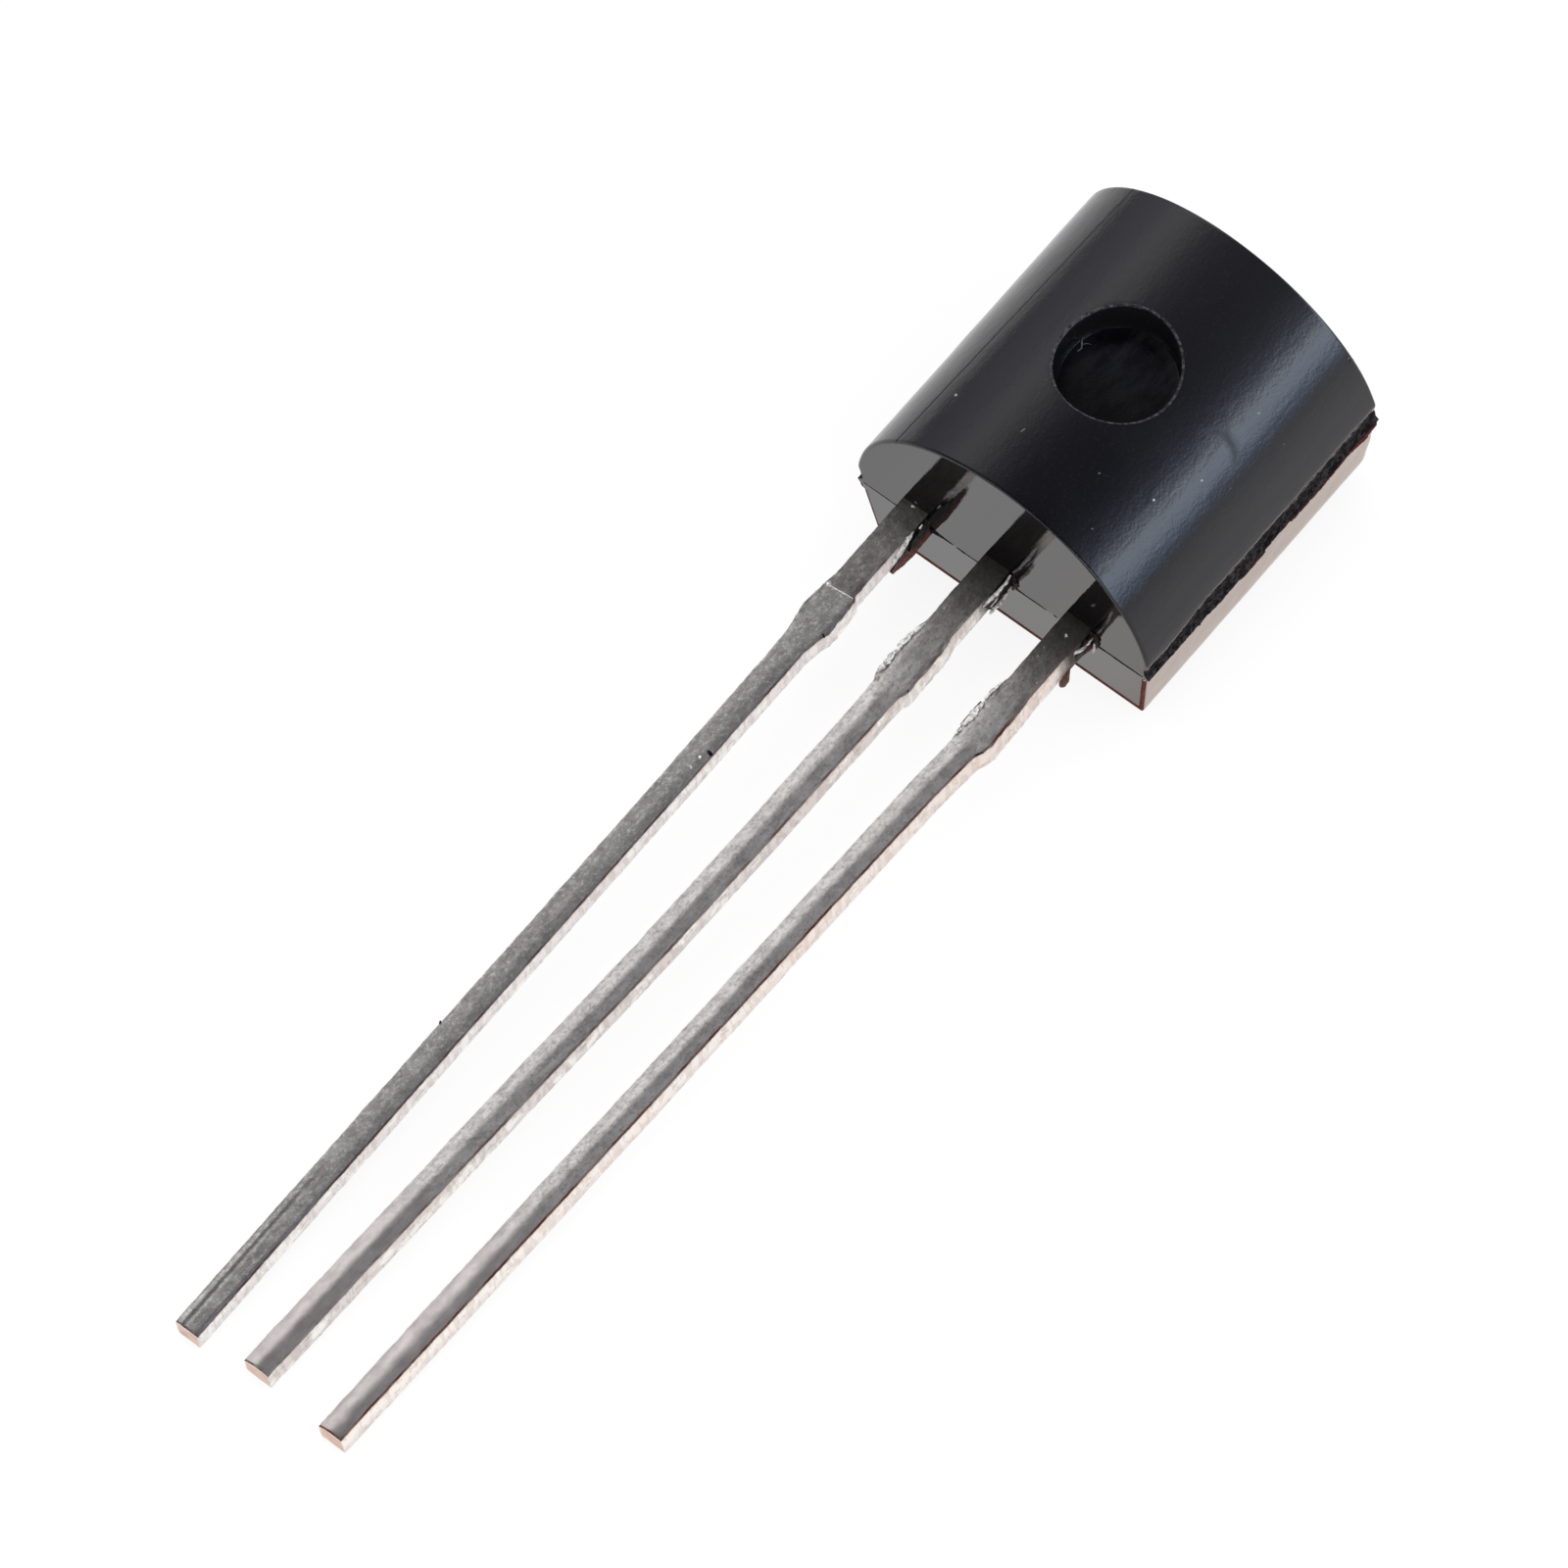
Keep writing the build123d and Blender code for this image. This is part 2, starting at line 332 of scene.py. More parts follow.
def tinned_face(name, pale, dull, brown_from, brown_full, brown_share, smooth_from, root_dark):
    """Dull tin on one lead's flat faces, darker and browner towards its root and nearly black next to
    the case, and grit, pits and pale specks that die out towards its tip."""
    s = Shader(name)
    along = s.coordinate("Y")
    gritty = s.span(along, smooth_from - 1.2, smooth_from)
    mottle = s.noise(6.5, 5, s.stretch(1.0, 0.55, 1.0), 0.65)
    grit = s.noise(22, 5, s.stretch(1.0, 0.8, 1.0), 0.75)
    lines = s.noise(26, 3, s.stretch(1.0, 0.05, 1.0))
    specks = s.times(s.span(s.cells(4.6), 0.04, 0.08, 1.0, 0.0), gritty)
    tin = s.mix(s.span(mottle, 0.38, 0.62), dull, pale)
    for share, colour in (
        (s.times(s.span(grit, 0.52, 0.66, 0.0, 0.55), gritty), (0.24, 0.215, 0.195)),
        (s.times(s.span(grit, 0.36, 0.47, 0.65, 0.0), gritty), (1.0, 0.985, 0.93)),
        (s.span(lines, 0.55, 0.7, 0.0, 0.20), (0.24, 0.21, 0.19)),
        (s.times(s.span(along, brown_from, brown_full), brown_share), (0.105, 0.088, 0.076)),
        (s.times(s.span(along, -0.75, -0.05), root_dark), (0.040, 0.033, 0.028)),
        (s.span(gritty, 0.0, 1.0, 0.35, 0.0), (0.72, 0.62, 0.585)),
        (s.times(specks, 0.6), (1.0, 0.99, 0.95)),
    ):
        tin = s.mix(share, tin, colour)
    waves = s.noise(6.5, 2, s.stretch(1.0, 0.55, 1.0))
    waves = s.times(waves, s.span(gritty, 0.0, 1.0, 0.2, 1.0))
    relief = s.relief(waves, 0.3, 0.012, s.relief(s.times(grit, gritty), 0.5, 0.010))
    return s.finish(tin, s.span(grit, *MOST, 0.26, 0.40), relief, Metallic=0.94)


def sheared_side(name, pale, warm, dark, low, root_from):
    """The stamped sides of one lead: a burnished upper band with tears and stains, duller below."""
    s = Shader(name)
    tear = s.noise(8.0, 6, s.stretch(1.0, 0.45, 1.6), 0.7)
    cracks = s.span(s.noise(7, 5, s.stretch(1.0, 1.8, 0.4)), 0.47, 0.50)
    tint = s.span(s.noise(1.7, 3, s.stretch(1.0, 0.6, 1.0)), 0.4, 0.6)
    waver = s.span(s.noise(2.6, 4, s.stretch(1.0, 1.0, 0.2)), *MOST, -0.07, 0.07)
    bright = s.span(s.noise(2.4, 4, s.stretch(1.0, 0.8, 1.5)), 0.54, 0.60, 0.0, 0.9)
    colour = s.mix(tint, pale, warm)
    for share, other in (
        (s.span(s.math("ADD", s.coordinate("Z"), waver), 0.12, 0.20, 1.0, 0.0), low),
        (bright, (1.0, 0.975, 0.93)),
        (s.span(tear, 0.31, 0.44, 0.65, 0.0), dark),
        (s.times(s.span(cracks, 0.0, 0.5, 0.5, 0.0), 0.5), dark),
        (s.span(s.coordinate("Z"), 0.29, 0.36, 0.0, 0.55), dark),
        (s.times(s.span(s.coordinate("Y"), root_from, root_from + 0.24), 0.94), (0.03, 0.024, 0.021)),
    ):
        colour = s.mix(share, colour, other)
    return s.finish(colour, s.span(tear, *MOST, 0.22, 0.42), s.relief(tear, 0.7, 0.022), Metallic=0.9)


def darker_edge(name, pale, darker):
    """The edge between a lead's face and its right side, darker and browner in patches."""
    return grained(name, 5.0, 5, (0.42, 0.58), (darker, pale), (0.35, 0.5), (0.6, 0.015),
                   stretch=(1.0, 0.5, 1.0), roughness=0.65, Metallic=0.85)


def settled_dust(name, dark, pale):
    """Dust and fibre that settled on the case."""
    return grained(name, 30, 4, (0.35, 0.65), (dark, pale), (0.6, 0.85), (0.6, 0.01), IOR=1.3)


def polished_silicon():
    """The chip: a blue-grey mirror with its faint layout of squares."""
    s = Shader("polished_silicon")
    tiles = s.node("TexChecker", {"Vector": s.place, "Scale": 14}, "Fac")
    colour = s.mix(tiles, (0.30, 0.31, 0.34), (0.36, 0.36, 0.42))
    return s.finish(colour, s.span(s.noise(20), *MOST, 0.12, 0.22), Metallic=0.6)


# Meshes

# Points closer than this are one, in millimetres, and edges sharper than this stay sharp
WELD = 0.0004
SHARP = radians(32)


def place_object(name, data):
    """A new object in the scene."""
    made = bpy.data.objects.new(name, data)
    bpy.context.scene.collection.objects.link(made)
    return made


def add_piece(name, form, materials, replaces=(), smooth=None):
    """A mesh drawn in component millimetres, laid down in the row frame and riding on the part. form
    is its points, its faces and the material number of each face; smooth marks the smooth faces."""
    points, faces, kinds = form
    mesh = bpy.data.meshes.new(name)
    mesh.from_pydata([tuple(p) for p in points], [], [tuple(f) for f in faces])
    for material in materials:
        mesh.materials.append(material)
    mesh.polygons.foreach_set("material_index", kinds)
    mesh.polygons.foreach_set("use_smooth", smooth or [True] * len(faces))
    work = bmesh.new()
    work.from_mesh(mesh)
    bmesh.ops.remove_doubles(work, verts=work.verts, dist=WELD)
    bmesh.ops.delete(work, geom=[v for v in work.verts if not v.link_faces], context="VERTS")
    bmesh.ops.recalc_face_normals(work, faces=work.faces)
    work.to_mesh(mesh)
    work.free()
    # Marking sharp edges makes every face smooth, so the flat ones are marked again
    flat = [p.index for p in mesh.polygons if not p.use_smooth]
    mesh.set_sharp_from_angle(angle=SHARP)
    for index in flat:
        mesh.polygons[index].use_smooth = False
    mesh.transform(TO_ROW)
    piece = place_object(name, mesh)
    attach(piece, "root")
    if replaces:
        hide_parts(*replaces)


def strand(path, radii, seed, flat=1.0, ragged=0.35, up=(0, 0, 1)):
    """A thin, ragged closed shape along a path, with a half width at each point of the path. flat
    is its height, along up, as a share of its width."""
    sides, pitch = 8, 0.02
    path = [Vector(p) for p in path]
    travelled = [0.0]
    for a, b in zip(path, path[1:]):
        travelled.append(travelled[-1] + (b - a).length)

    def along(distance):
        distance = min(max(distance, 0.0), travelled[-1])
        return Vector([np.interp(distance, travelled, [p[axis] for p in path]) for axis in range(3)])

    steps = max(3, ceil(travelled[-1] / pitch))
    points, faces = [], []
    for i in range(steps + 1):
        distance = travelled[-1] * i / steps
        centre = along(distance)
        heading = (along(distance + pitch) - along(distance - pitch)).normalized()
        side = heading.cross(Vector(up)).normalized()
        lift = side.cross(heading)
        half = float(np.interp(distance, travelled, radii))
        for k in range(sides):
            t = 2 * pi * k / sides
            spoke = (side * cos(t) + lift * sin(t) * flat) * half
            points.append(tuple(centre + spoke * (1 + ragged * ripple(centre + spoke, 18.0, seed))))
    for i in range(steps):
        for k in range(sides):
            m = (k + 1) % sides
            faces.append((i * sides + k, i * sides + m, (i + 1) * sides + m, (i + 1) * sides + k))
    faces.append(tuple(range(sides)))
    faces.append(tuple(steps * sides + k for k in range(sides)))
    return points, faces


def flap(outline, x, thickness, seed, ragged=0.014):
    """A thin torn sheet standing on the plane X = x, from the (Y, Z) corners round it."""
    front, back = [], []
    for (y0, z0), (y1, z1) in zip(outline, outline[1:] + outline[:1]):
        count = ceil(hypot(y1 - y0, z1 - z0) / 0.035)
        for i in range(count):
            y, z = y0 + (y1 - y0) * i / count, z0 + (z1 - z0) * i / count
            y, z = y + ragged * ripple((y, z, 1), 16.0, seed), z + ragged * ripple((y, z, 2), 16.0, seed)
            warp = 0.010 * ripple((y, z, 3), 5.0, seed)
            front.append((x + warp + thickness / 2, y, z))
            back.append((x + warp - thickness / 2, y, z))
    n = len(front)
    faces = [tuple(range(n)), tuple(range(2 * n - 1, n - 1, -1))]
    faces += [(i, (i + 1) % n, n + (i + 1) % n, n + i) for i in range(n)]
    return front + back, faces


def gather(parts):
    """Several closed shapes as one mesh, each with its own kind of surface."""
    points, faces, kinds = [], [], []
    for kind, (part_points, part_faces) in parts:
        start = len(points)
        points += part_points
        faces += [tuple(start + i for i in face) for face in part_faces]
        kinds += [kind] * len(part_faces)
    return points, faces, kinds


def round_height(x):
    """Height of the round side above the parting plane."""
    return CENTRE_RISE + sqrt(max(0.0, ROUND_RADIUS ** 2 - x * x))


def case_columns():
    """The case's outline seen along the leads: place, outward direction and kind of each column."""
    columns = []
    low = [z / 100 for z in range(42, -1, -3)]
    rim = [degrees(acos((z - CENTRE_RISE) / ROUND_RADIUS)) for z in low]
    angles = [-a for a in reversed(rim)] + list(range(-80, 81)) + rim
    for a in angles:
        t = radians(a)
        columns.append((ROUND_RADIUS * sin(t), CENTRE_RISE + ROUND_RADIUS * cos(t), sin(t), cos(t), "round"))
    draft = atan2(FLAT_DRAFT, 1.0)
    across, down = cos(draft), -sin(draft)
    foot = HALF_LIP - FLAT_DEPTH * FLAT_DRAFT
    bend = radians(90) - draft
    back = EDGE_RADIUS * tan(bend / 2)
    side = []
    foot_z = -(FLAT_DEPTH - back * cos(draft))
    for z in [0, -0.02, -0.04, -0.06, -0.08, -0.10, -0.12, -0.15, -0.18, *np.linspace(-0.24, foot_z, 10)]:
        side.append((HALF_LIP + z * FLAT_DRAFT, z, across, down, "side"))
    arc_x, arc_z = foot - back, -FLAT_DEPTH + EDGE_RADIUS
    for i in range(1, 5):
        t = draft + bend * i / 4
        side.append((arc_x + EDGE_RADIUS * cos(t), arc_z - EDGE_RADIUS * sin(t), cos(t), -sin(t), "side"))
    flat_steps = 28
    flat_x = [arc_x - 2 * arc_x * i / flat_steps for i in range(1, flat_steps)]
    flat = [(x, -FLAT_DEPTH, 0.0, -1.0, "flat") for x in flat_x]
    mirrored = [(-x, z, -nx, nz, kind) for x, z, nx, nz, kind in reversed(side)]
    return columns + side + flat + mirrored


def sink_marks(x, y):
    """How far the round side has sunk as the plastic cooled: long shallow waves."""
    return 0.0045 * (1 + ripple((x, y, 0), 0.9, 3))


def case_rows():
    """Rows from the lead end to the top: share of the straight length, and corner angle at an end."""
    corner = [radians(q) for q in (0, 22.5, 45, 67.5)]
    straight = 190
    return [("lead", q) for q in corner] + [("straight", i / straight) for i in range(straight + 1)] + [
        ("top", q) for q in reversed(corner)]


# Broken flash along the parting line: (distance along the case, how far it hangs below the line)
FLASH_HANG = [
    (0.0, 0.02), (0.35, 0.03), (0.6, 0.05), (0.95, 0.03), (1.0, 0.10), (1.12, 0.03), (1.4, 0.11),
    (1.75, 0.09), (1.8, 0.15), (2.25, 0.14), (2.3, 0.05), (2.75, 0.06), (2.8, 0.12), (3.6, 0.13),
    (3.9, 0.06), (4.05, 0.15), (4.2, 0.17), (4.48, 0.17),
]
FLASH_TOP = 0.265
RED_EDGE = 0.05

# Width of the rubbed line along the lead end's lower edge, and along its two side edges
RUBBED_FOOT = 0.095
RUBBED_SIDE = 0.018

# The top end's lower edge is worn round
FOOT_WEAR = 0.13

# The dressed case stays this far inside the CAD case's width
WIDTH_MARGIN = 0.006

# Patch of skin left open for the round mark: angles of its sides, and its reach along the case
PATCH_ANGLES = (-28.5, 32.5)
PATCH_REACH = 1.15


def flash_hang(y, right):
    """How far the flash hangs below the parting line at some distance along the case."""
    hang = np.interp(y if right else CASE_HEIGHT - y, [p[0] for p in FLASH_HANG], [p[1] for p in FLASH_HANG])
    return hang + 0.022 * ripple((right, y, 0), 6.0, 5) + 0.018 * ripple((right, y, 0), 17.0, 9)


def flash_top(y, right):
    """How far the broken flash reaches above the parting line."""
    torn = 0.024 * ripple((right, y, 0), 2.2, 4) + 0.018 * ripple((right, y, 0), 11.0, 6)
    return FLASH_TOP - 0.065 * step(1.1 - y, 0.0, 0.7) + torn


def case_point(column, row):
    """A point of the case's skin."""
    x, z, nx, nz, kind = column
    place, value = row
    lead_y = LEAD_END_SLOPE * abs(z)
    top_y = CASE_HEIGHT - TOP_END_SLOPE * abs(z)
    lead_radius = EDGE_RADIUS * min(1.0, abs(z) / 0.08)
    worn = FOOT_WEAR * step(-z, 0.62, FLAT_DEPTH)
    top_radius = lead_radius + worn
    inset, lift = 0.0, 0.0
    if place == "straight":
        y = lead_y + lead_radius + value * (top_y - lead_y - lead_radius - top_radius)
    else:
        radius = lead_radius if place == "lead" else top_radius
        inset = lead_radius * (1 - sin(value))
        out = radius * (1 - cos(value))
        y = lead_y + out if place == "lead" else top_y - out
        lift = 0.0 if place == "lead" else worn * (1 - sin(value))
    if kind == "round":
        inset += sink_marks(x, y) * step(z, 0.4, 0.6)
    if kind == "round" and z < 0.43:
        edge = flash_top(y, nx > 0)
        turned = step(edge + 0.13 - z, 0.0, 0.13)
        broken = step(edge - z, 0.0, 0.03) * step(z, 0.0, 0.05)
        inset += 0.034 * turned + broken * (0.008 + 0.020 * ripple((x, y, z), 9.0, 8))
        inset -= 0.030 * step(0.06 - z, 0.0, 0.05)
    if kind == "side":
        hang = flash_hang(y, x > 0)
        lump = step(hang + z, -0.01, 0.02)
        inset -= lump * (0.030 + 0.024 * min(1.0, -z / max(hang, 0.02)) + 0.008 * ripple((x, y, z), 9.0, 12))
        inset += 0.003 * (1 + ripple((x, y, z), 3.0, 11)) * step(-z, 0.0, 0.05)
    reach = HALF_WIDTH - WIDTH_MARGIN
    moved = z - nz * inset + lift
    if place == "top":
        y += TOP_END_SLOPE * (abs(z) - abs(moved))
    return (min(reach, max(-reach, x - nx * inset)), y, moved)


def case_skin():
    """The moulded case: its skin with the round mark, its two ends, and the seats of the leads."""
    columns, rows = case_columns(), case_rows()
    n = len(columns)
    points = [case_point(c, r) for r in rows for c in columns]
    faces, kinds, smooth = [], [], []
    EPOXY, END, SIDE, FLASH, BOTTOM, RED, RIM, END_EDGE = range(8)

    def add(face, kind, is_smooth=True):
        faces.append(face)
        kinds.append(kind)
        smooth.append(is_smooth)

    round_columns = [i for i, c in enumerate(columns) if c[4] == "round"]
    angle_at = {i: degrees(atan2(columns[i][0], columns[i][1] - CENTRE_RISE)) for i in round_columns}
    first_col = min(i for i in round_columns if angle_at[i] > PATCH_ANGLES[0])
    last_col = max(i for i in round_columns if angle_at[i] < PATCH_ANGLES[1])
    straight = [i for i, row in enumerate(rows) if row[0] == "straight"]
    first_row = min(i for i in straight if points[i * n][1] > MARK_Y - PATCH_REACH)
    last_row = max(i for i in straight if points[i * n][1] < MARK_Y + PATCH_REACH)

    corner_rows = straight[0] - 1
    for r in range(len(rows) - 1):
        for c in range(n):
            if first_row <= r < last_row and first_col <= c < last_col:
                continue
            d = (c + 1) % n
            kind = columns[c][4] if columns[c][4] == columns[d][4] else "side"
            middle_y = points[r * n + c][1]
            middle_z = (columns[c][1] + columns[d][1]) / 2
            on_right = columns[c][0] > 0
            if kind == "round":
                material = FLASH if middle_z < flash_top(middle_y, on_right) else EPOXY
            elif kind == "side":
                hang = flash_hang(middle_y, on_right)
                red_from = max(0.0, hang - RED_EDGE * (1 + 3 * step(middle_y, 3.9, 4.15)))
                material = SIDE if -middle_z > hang else RED if -middle_z > red_from else FLASH
            else:
                material = EPOXY
            if r < corner_rows and middle_z < -0.1:
                material = END_EDGE
            add((r * n + c, r * n + d, (r + 1) * n + d, (r + 1) * n + c), material)

    # Round mark: rings from its centre out to the edge of the patch left open above
    edge = [first_row * n + c for c in range(first_col, last_col)]
    edge += [r * n + last_col for r in range(first_row, last_row)]
    edge += [last_row * n + c for c in range(last_col, first_col, -1)]
    edge += [r * n + first_col for r in range(last_row, first_row, -1)]
    count = len(edge)
    rays = [atan2(points[i][1] - MARK_Y, points[i][0] - MARK_X) for i in edge]

    def ring(make):
        start = len(points)
        points.extend(make(k, t) for k, t in enumerate(rays))
        return list(range(start, start + count))

    def on_skin(x, y, sink=0.0):
        z = round_height(x)
        nx, nz = x / ROUND_RADIUS, (z - CENTRE_RISE) / ROUND_RADIUS
        sink += sink_marks(x, y)
        return (x - nx * sink, y, z - nz * sink)

    def circle(radius, z):
        return ring(lambda k, t: (MARK_X + radius * cos(t), MARK_Y + radius * sin(t), z))

    # Bands between the rings, counted inwards: the worn rim's, and the first of the bottom's
    rim_bands, first_bottom_band = range(8, 11), 16
    rings = [edge]
    outer = MARK_RADIUS + MARK_RIM
    for share in (0.12, 0.26, 0.40, 0.54, 0.67, 0.79, 0.90, 1.0):
        def between(k, t):
            px, py, _ = points[edge[k]]
            cx, cy = MARK_X + outer * cos(t), MARK_Y + outer * sin(t)
            return on_skin(px + (cx - px) * share, py + (cy - py) * share)
        rings.append(ring(between))
    for q in (30, 60, 90):
        radius = outer - MARK_RIM * sin(radians(q))
        sink = MARK_RIM * (1 - cos(radians(q)))
        rings.append(ring(lambda k, t: on_skin(MARK_X + radius * cos(t), MARK_Y + radius * sin(t), sink)))
    crown = CENTRE_RISE + ROUND_RADIUS
    foot = 0.04
    for share in (0.25, 0.5, 0.75, 1.0):
        def on_wall(k, t):
            top = round_height(MARK_X + MARK_RADIUS * cos(t)) - MARK_RIM
            z = top + (MARK_FLOOR + foot - top) * share
            radius = MARK_RADIUS - (crown - z) * MARK_DRAFT
            radius += 0.004 * ripple((cos(t), sin(t), z), 3.0, 21)
            return (MARK_X + radius * cos(t), MARK_Y + radius * sin(t), z)
        rings.append(ring(on_wall))
    floor_radius = MARK_RADIUS - MARK_DEPTH * MARK_DRAFT
    for q in (30, 60, 90):
        radius = floor_radius - foot * (1 - cos(radians(q)))
        rings.append(circle(radius, MARK_FLOOR + foot * (1 - sin(radians(q)))))
    for share in (0.8, 0.6, 0.4, 0.2, 0.06):
        rings.append(circle(floor_radius * share, MARK_FLOOR))
    for place, (outer_ring, inner_ring) in enumerate(zip(rings, rings[1:])):
        for k in range(count):
            m = (k + 1) % count
            kind = BOTTOM if place >= first_bottom_band else RIM if place in rim_bands else EPOXY
            add((outer_ring[k], outer_ring[m], inner_ring[m], inner_ring[k]), kind)
    points.append((MARK_X, MARK_Y, MARK_FLOOR))
    for k in range(count):
        add((rings[-1][k], rings[-1][(k + 1) % count], len(points) - 1), BOTTOM)

    # Ends: fans of triangles, upper and lower, that lean apart from the parting line
    def vertex(*place):
        points.append(place)
        return len(points) - 1

    def fan(boundary, x, z, slope, at=0.0):
        middle = vertex(x, at + slope * abs(z), z)
        for a, b in zip(boundary, boundary[1:] + boundary[:1]):
            add((a, b, middle), END, False)

    last = (len(rows) - 1) * n
    upper = round_columns
    lower = [i for i in range(n) if i not in set(round_columns)]
    fan([last + c for c in upper], 0.0, 1.0, -TOP_END_SLOPE, CASE_HEIGHT)
    fan([last + c for c in lower], 0.0, -0.5, -TOP_END_SLOPE, CASE_HEIGHT)
    add((last + upper[-1], last + lower[0], last + lower[-1], last + upper[0]), FLASH, False)

    def corner(x, z):
        return vertex(x, LEAD_END_SLOPE * z, z)

    feet, tops = [], []
    for name in ("emitter_lead", "collector_lead", "base_lead"):
        for x in (LEAD_CENTRES[name] + NECK / 2, LEAD_CENTRES[name] - NECK / 2):
            feet.append(corner(x, 0))
            tops.append(corner(x, STRIP))
    above = [c for c in upper if columns[c][1] >= STRIP]
    right_low = [c for c in upper if c >= above[-1]]
    left_low = [c for c in upper if c <= above[0]]
    fan([*above, *tops], 0.0, 1.1, LEAD_END_SLOPE)
    fan([*right_low, lower[0], feet[0], tops[0]], 1.85, 0.17, LEAD_END_SLOPE)
    fan([tops[5], feet[5], lower[-1], *left_low], -1.85, 0.17, LEAD_END_SLOPE)
    for k in (1, 3):
        add((tops[k], feet[k], feet[k + 1], tops[k + 1]), END, False)
    # A rubbed line just inside the lower edges
    inner = []
    for c in lower:
        x, _, z = points[c]
        z = min(0.0, max(z, EDGE_RADIUS + RUBBED_FOOT - FLAT_DEPTH))
        inner.append(vertex(x - columns[c][2] * RUBBED_SIDE, LEAD_END_SLOPE * -z, z))
    for a, b, c, d in zip(lower, lower[1:], inner[1:], inner):
        add((a, b, c, d), END_EDGE, False)
    fan([*inner, *reversed(feet)], 0.0, -0.55, LEAD_END_SLOPE)

    # Seats of the leads, chip and wires inside, as the CAD solid has them
    cad = frame["nodes"]["epoxy_case"].data
    to_component = TO_ROW.inverted()
    place = [to_component @ v.co for v in cad.vertices]
    start = len(points)
    points.extend(tuple(p) for p in place)
    for polygon in cad.polygons:
        corners = [place[i] for i in polygon.vertices]
        middle = sum(corners, Vector()) / len(corners)
        normal = (corners[1] - corners[0]).cross(corners[2] - corners[0])
        inside = abs(middle.x) < 1.9 and -0.002 < middle.z < 1.0 and -0.01 < middle.y < 4.0
        on_end = all(abs(p.y - LEAD_END_SLOPE * abs(p.z)) < 0.002 for p in corners)
        if inside and not (on_end and abs(normal.y) > 0.9 * normal.length):
            add([start + i for i in polygon.vertices], END, False)
    return points, faces, kinds, smooth


def outline_at(table, y):
    """A side of a lead at some distance from the case, straight between its key places."""
    return float(np.interp(-y, [-p[0] for p in table], [p[1] for p in table]))


# Sides of each lead outside the case, read from the photograph: (distance along Y, X)
LEAD_SIDES = {
    "base_lead": (
        [(-0.1, -1.532), (-1.25, -1.532), (-1.45, -1.555), (-1.84, -1.590), (-2.22, -1.520), (-2.6, -1.505),
         (-5.0, -1.485), (-9.0, -1.485), (-13.66, -1.475)],
        [(-0.1, -1.148), (-1.38, -1.15), (-1.45, -1.102), (-1.98, -1.075), (-2.08, -1.118), (-2.35, -1.155),
         (-5.0, -1.15), (-9.0, -1.145), (-13.66, -1.135)],
    ),
    "collector_lead": (
        [(-0.1, -0.262), (-1.1, -0.262), (-1.2, -0.290), (-1.32, -0.285), (-1.5, -0.302), (-1.9, -0.300),
         (-2.02, -0.315), (-2.1, -0.275), (-2.3, -0.262), (-4.4, -0.272), (-6.6, -0.312), (-8.75, -0.387),
         (-11.6, -0.475), (-13.53, -0.525)],
        [(-0.1, 0.122), (-1.1, 0.125), (-1.25, 0.160), (-1.6, 0.170), (-1.95, 0.178), (-2.03, 0.172),
         (-2.12, 0.135), (-2.3, 0.125), (-4.4, 0.11), (-6.6, 0.07), (-8.75, -0.01), (-11.6, -0.10),
         (-13.53, -0.15)],
    ),
    "emitter_lead": (
        [(-0.1, 1.008), (-1.1, 1.008), (-1.25, 0.985), (-1.4, 0.962), (-2.0, 0.955), (-2.15, 0.970),
         (-2.85, 0.940), (-4.3, 0.903), (-6.5, 0.860), (-8.7, 0.815), (-10.8, 0.763), (-13.63, 0.713)],
        [(-0.1, 1.392), (-1.15, 1.392), (-1.35, 1.405), (-1.95, 1.425), (-2.08, 1.395), (-2.2, 1.345),
         (-2.85, 1.305), (-4.3, 1.265), (-6.5, 1.22), (-8.7, 1.175), (-10.8, 1.128), (-13.63, 1.06)],
    ),
}
TIPS = {"base_lead": -13.66, "collector_lead": -13.53, "emitter_lead": -13.63}

# How far each lead's right side leans out towards the table, in millimetres
FOOT_SPREAD = {"base_lead": 0.0, "collector_lead": 0.015, "emitter_lead": 0.035}

# How torn the two sides are at the sheared stub: left, right
STUB_TEAR = {"base_lead": (0.3, 0.5), "collector_lead": (1.0, 0.4), "emitter_lead": (1.0, 0.4)}

# How the faces roll off across a lead: (share of the width, slope in degrees), left to right,
# near the case and at the tip
ROLLED = [(0.0, -30), (0.05, -21), (0.32, -18), (0.46, -6), (0.58, 7), (0.9, 6), (1.0, 14)]
ROLLED_TIP = [(0.0, -32), (0.06, -24), (0.3, -15), (0.5, -6), (0.66, 4), (1.0, 8)]
FACE_ROLL = {
    "base_lead": ([(0.0, -20), (0.04, -4), (0.5, -2), (0.7, 4), (0.9, 7), (1.0, 12)],
                  [(0.0, 8), (0.05, -13), (0.2, -14), (0.24, 16), (0.32, 14), (0.36, -10), (0.44, -6),
                   (0.5, 0), (0.82, 0), (0.88, 18), (1.0, 20)]),
    "collector_lead": (ROLLED, ROLLED),
    "emitter_lead": (ROLLED, ROLLED_TIP),
}
ROLL_CHANGE = {"base_lead": (-10.8, -12.2), "collector_lead": (-9.0, -13.0), "emitter_lead": (-8.5, -11.5)}

# Inner ends: the stem's bites, the shoulder, and how far the pad or post reaches
NOTCH_Y, NOTCH_RADIUS, NOTCH_SINK = 0.62, 0.14, 0.07
SHOULDER = (1.05, 1.30)
INNER_ENDS = {
    "base_lead": (-1.74, -1.14, 3.05),
    "collector_lead": (-0.92, 0.78, 3.40),
    "emitter_lead": (1.00, 1.60, 3.05),
}


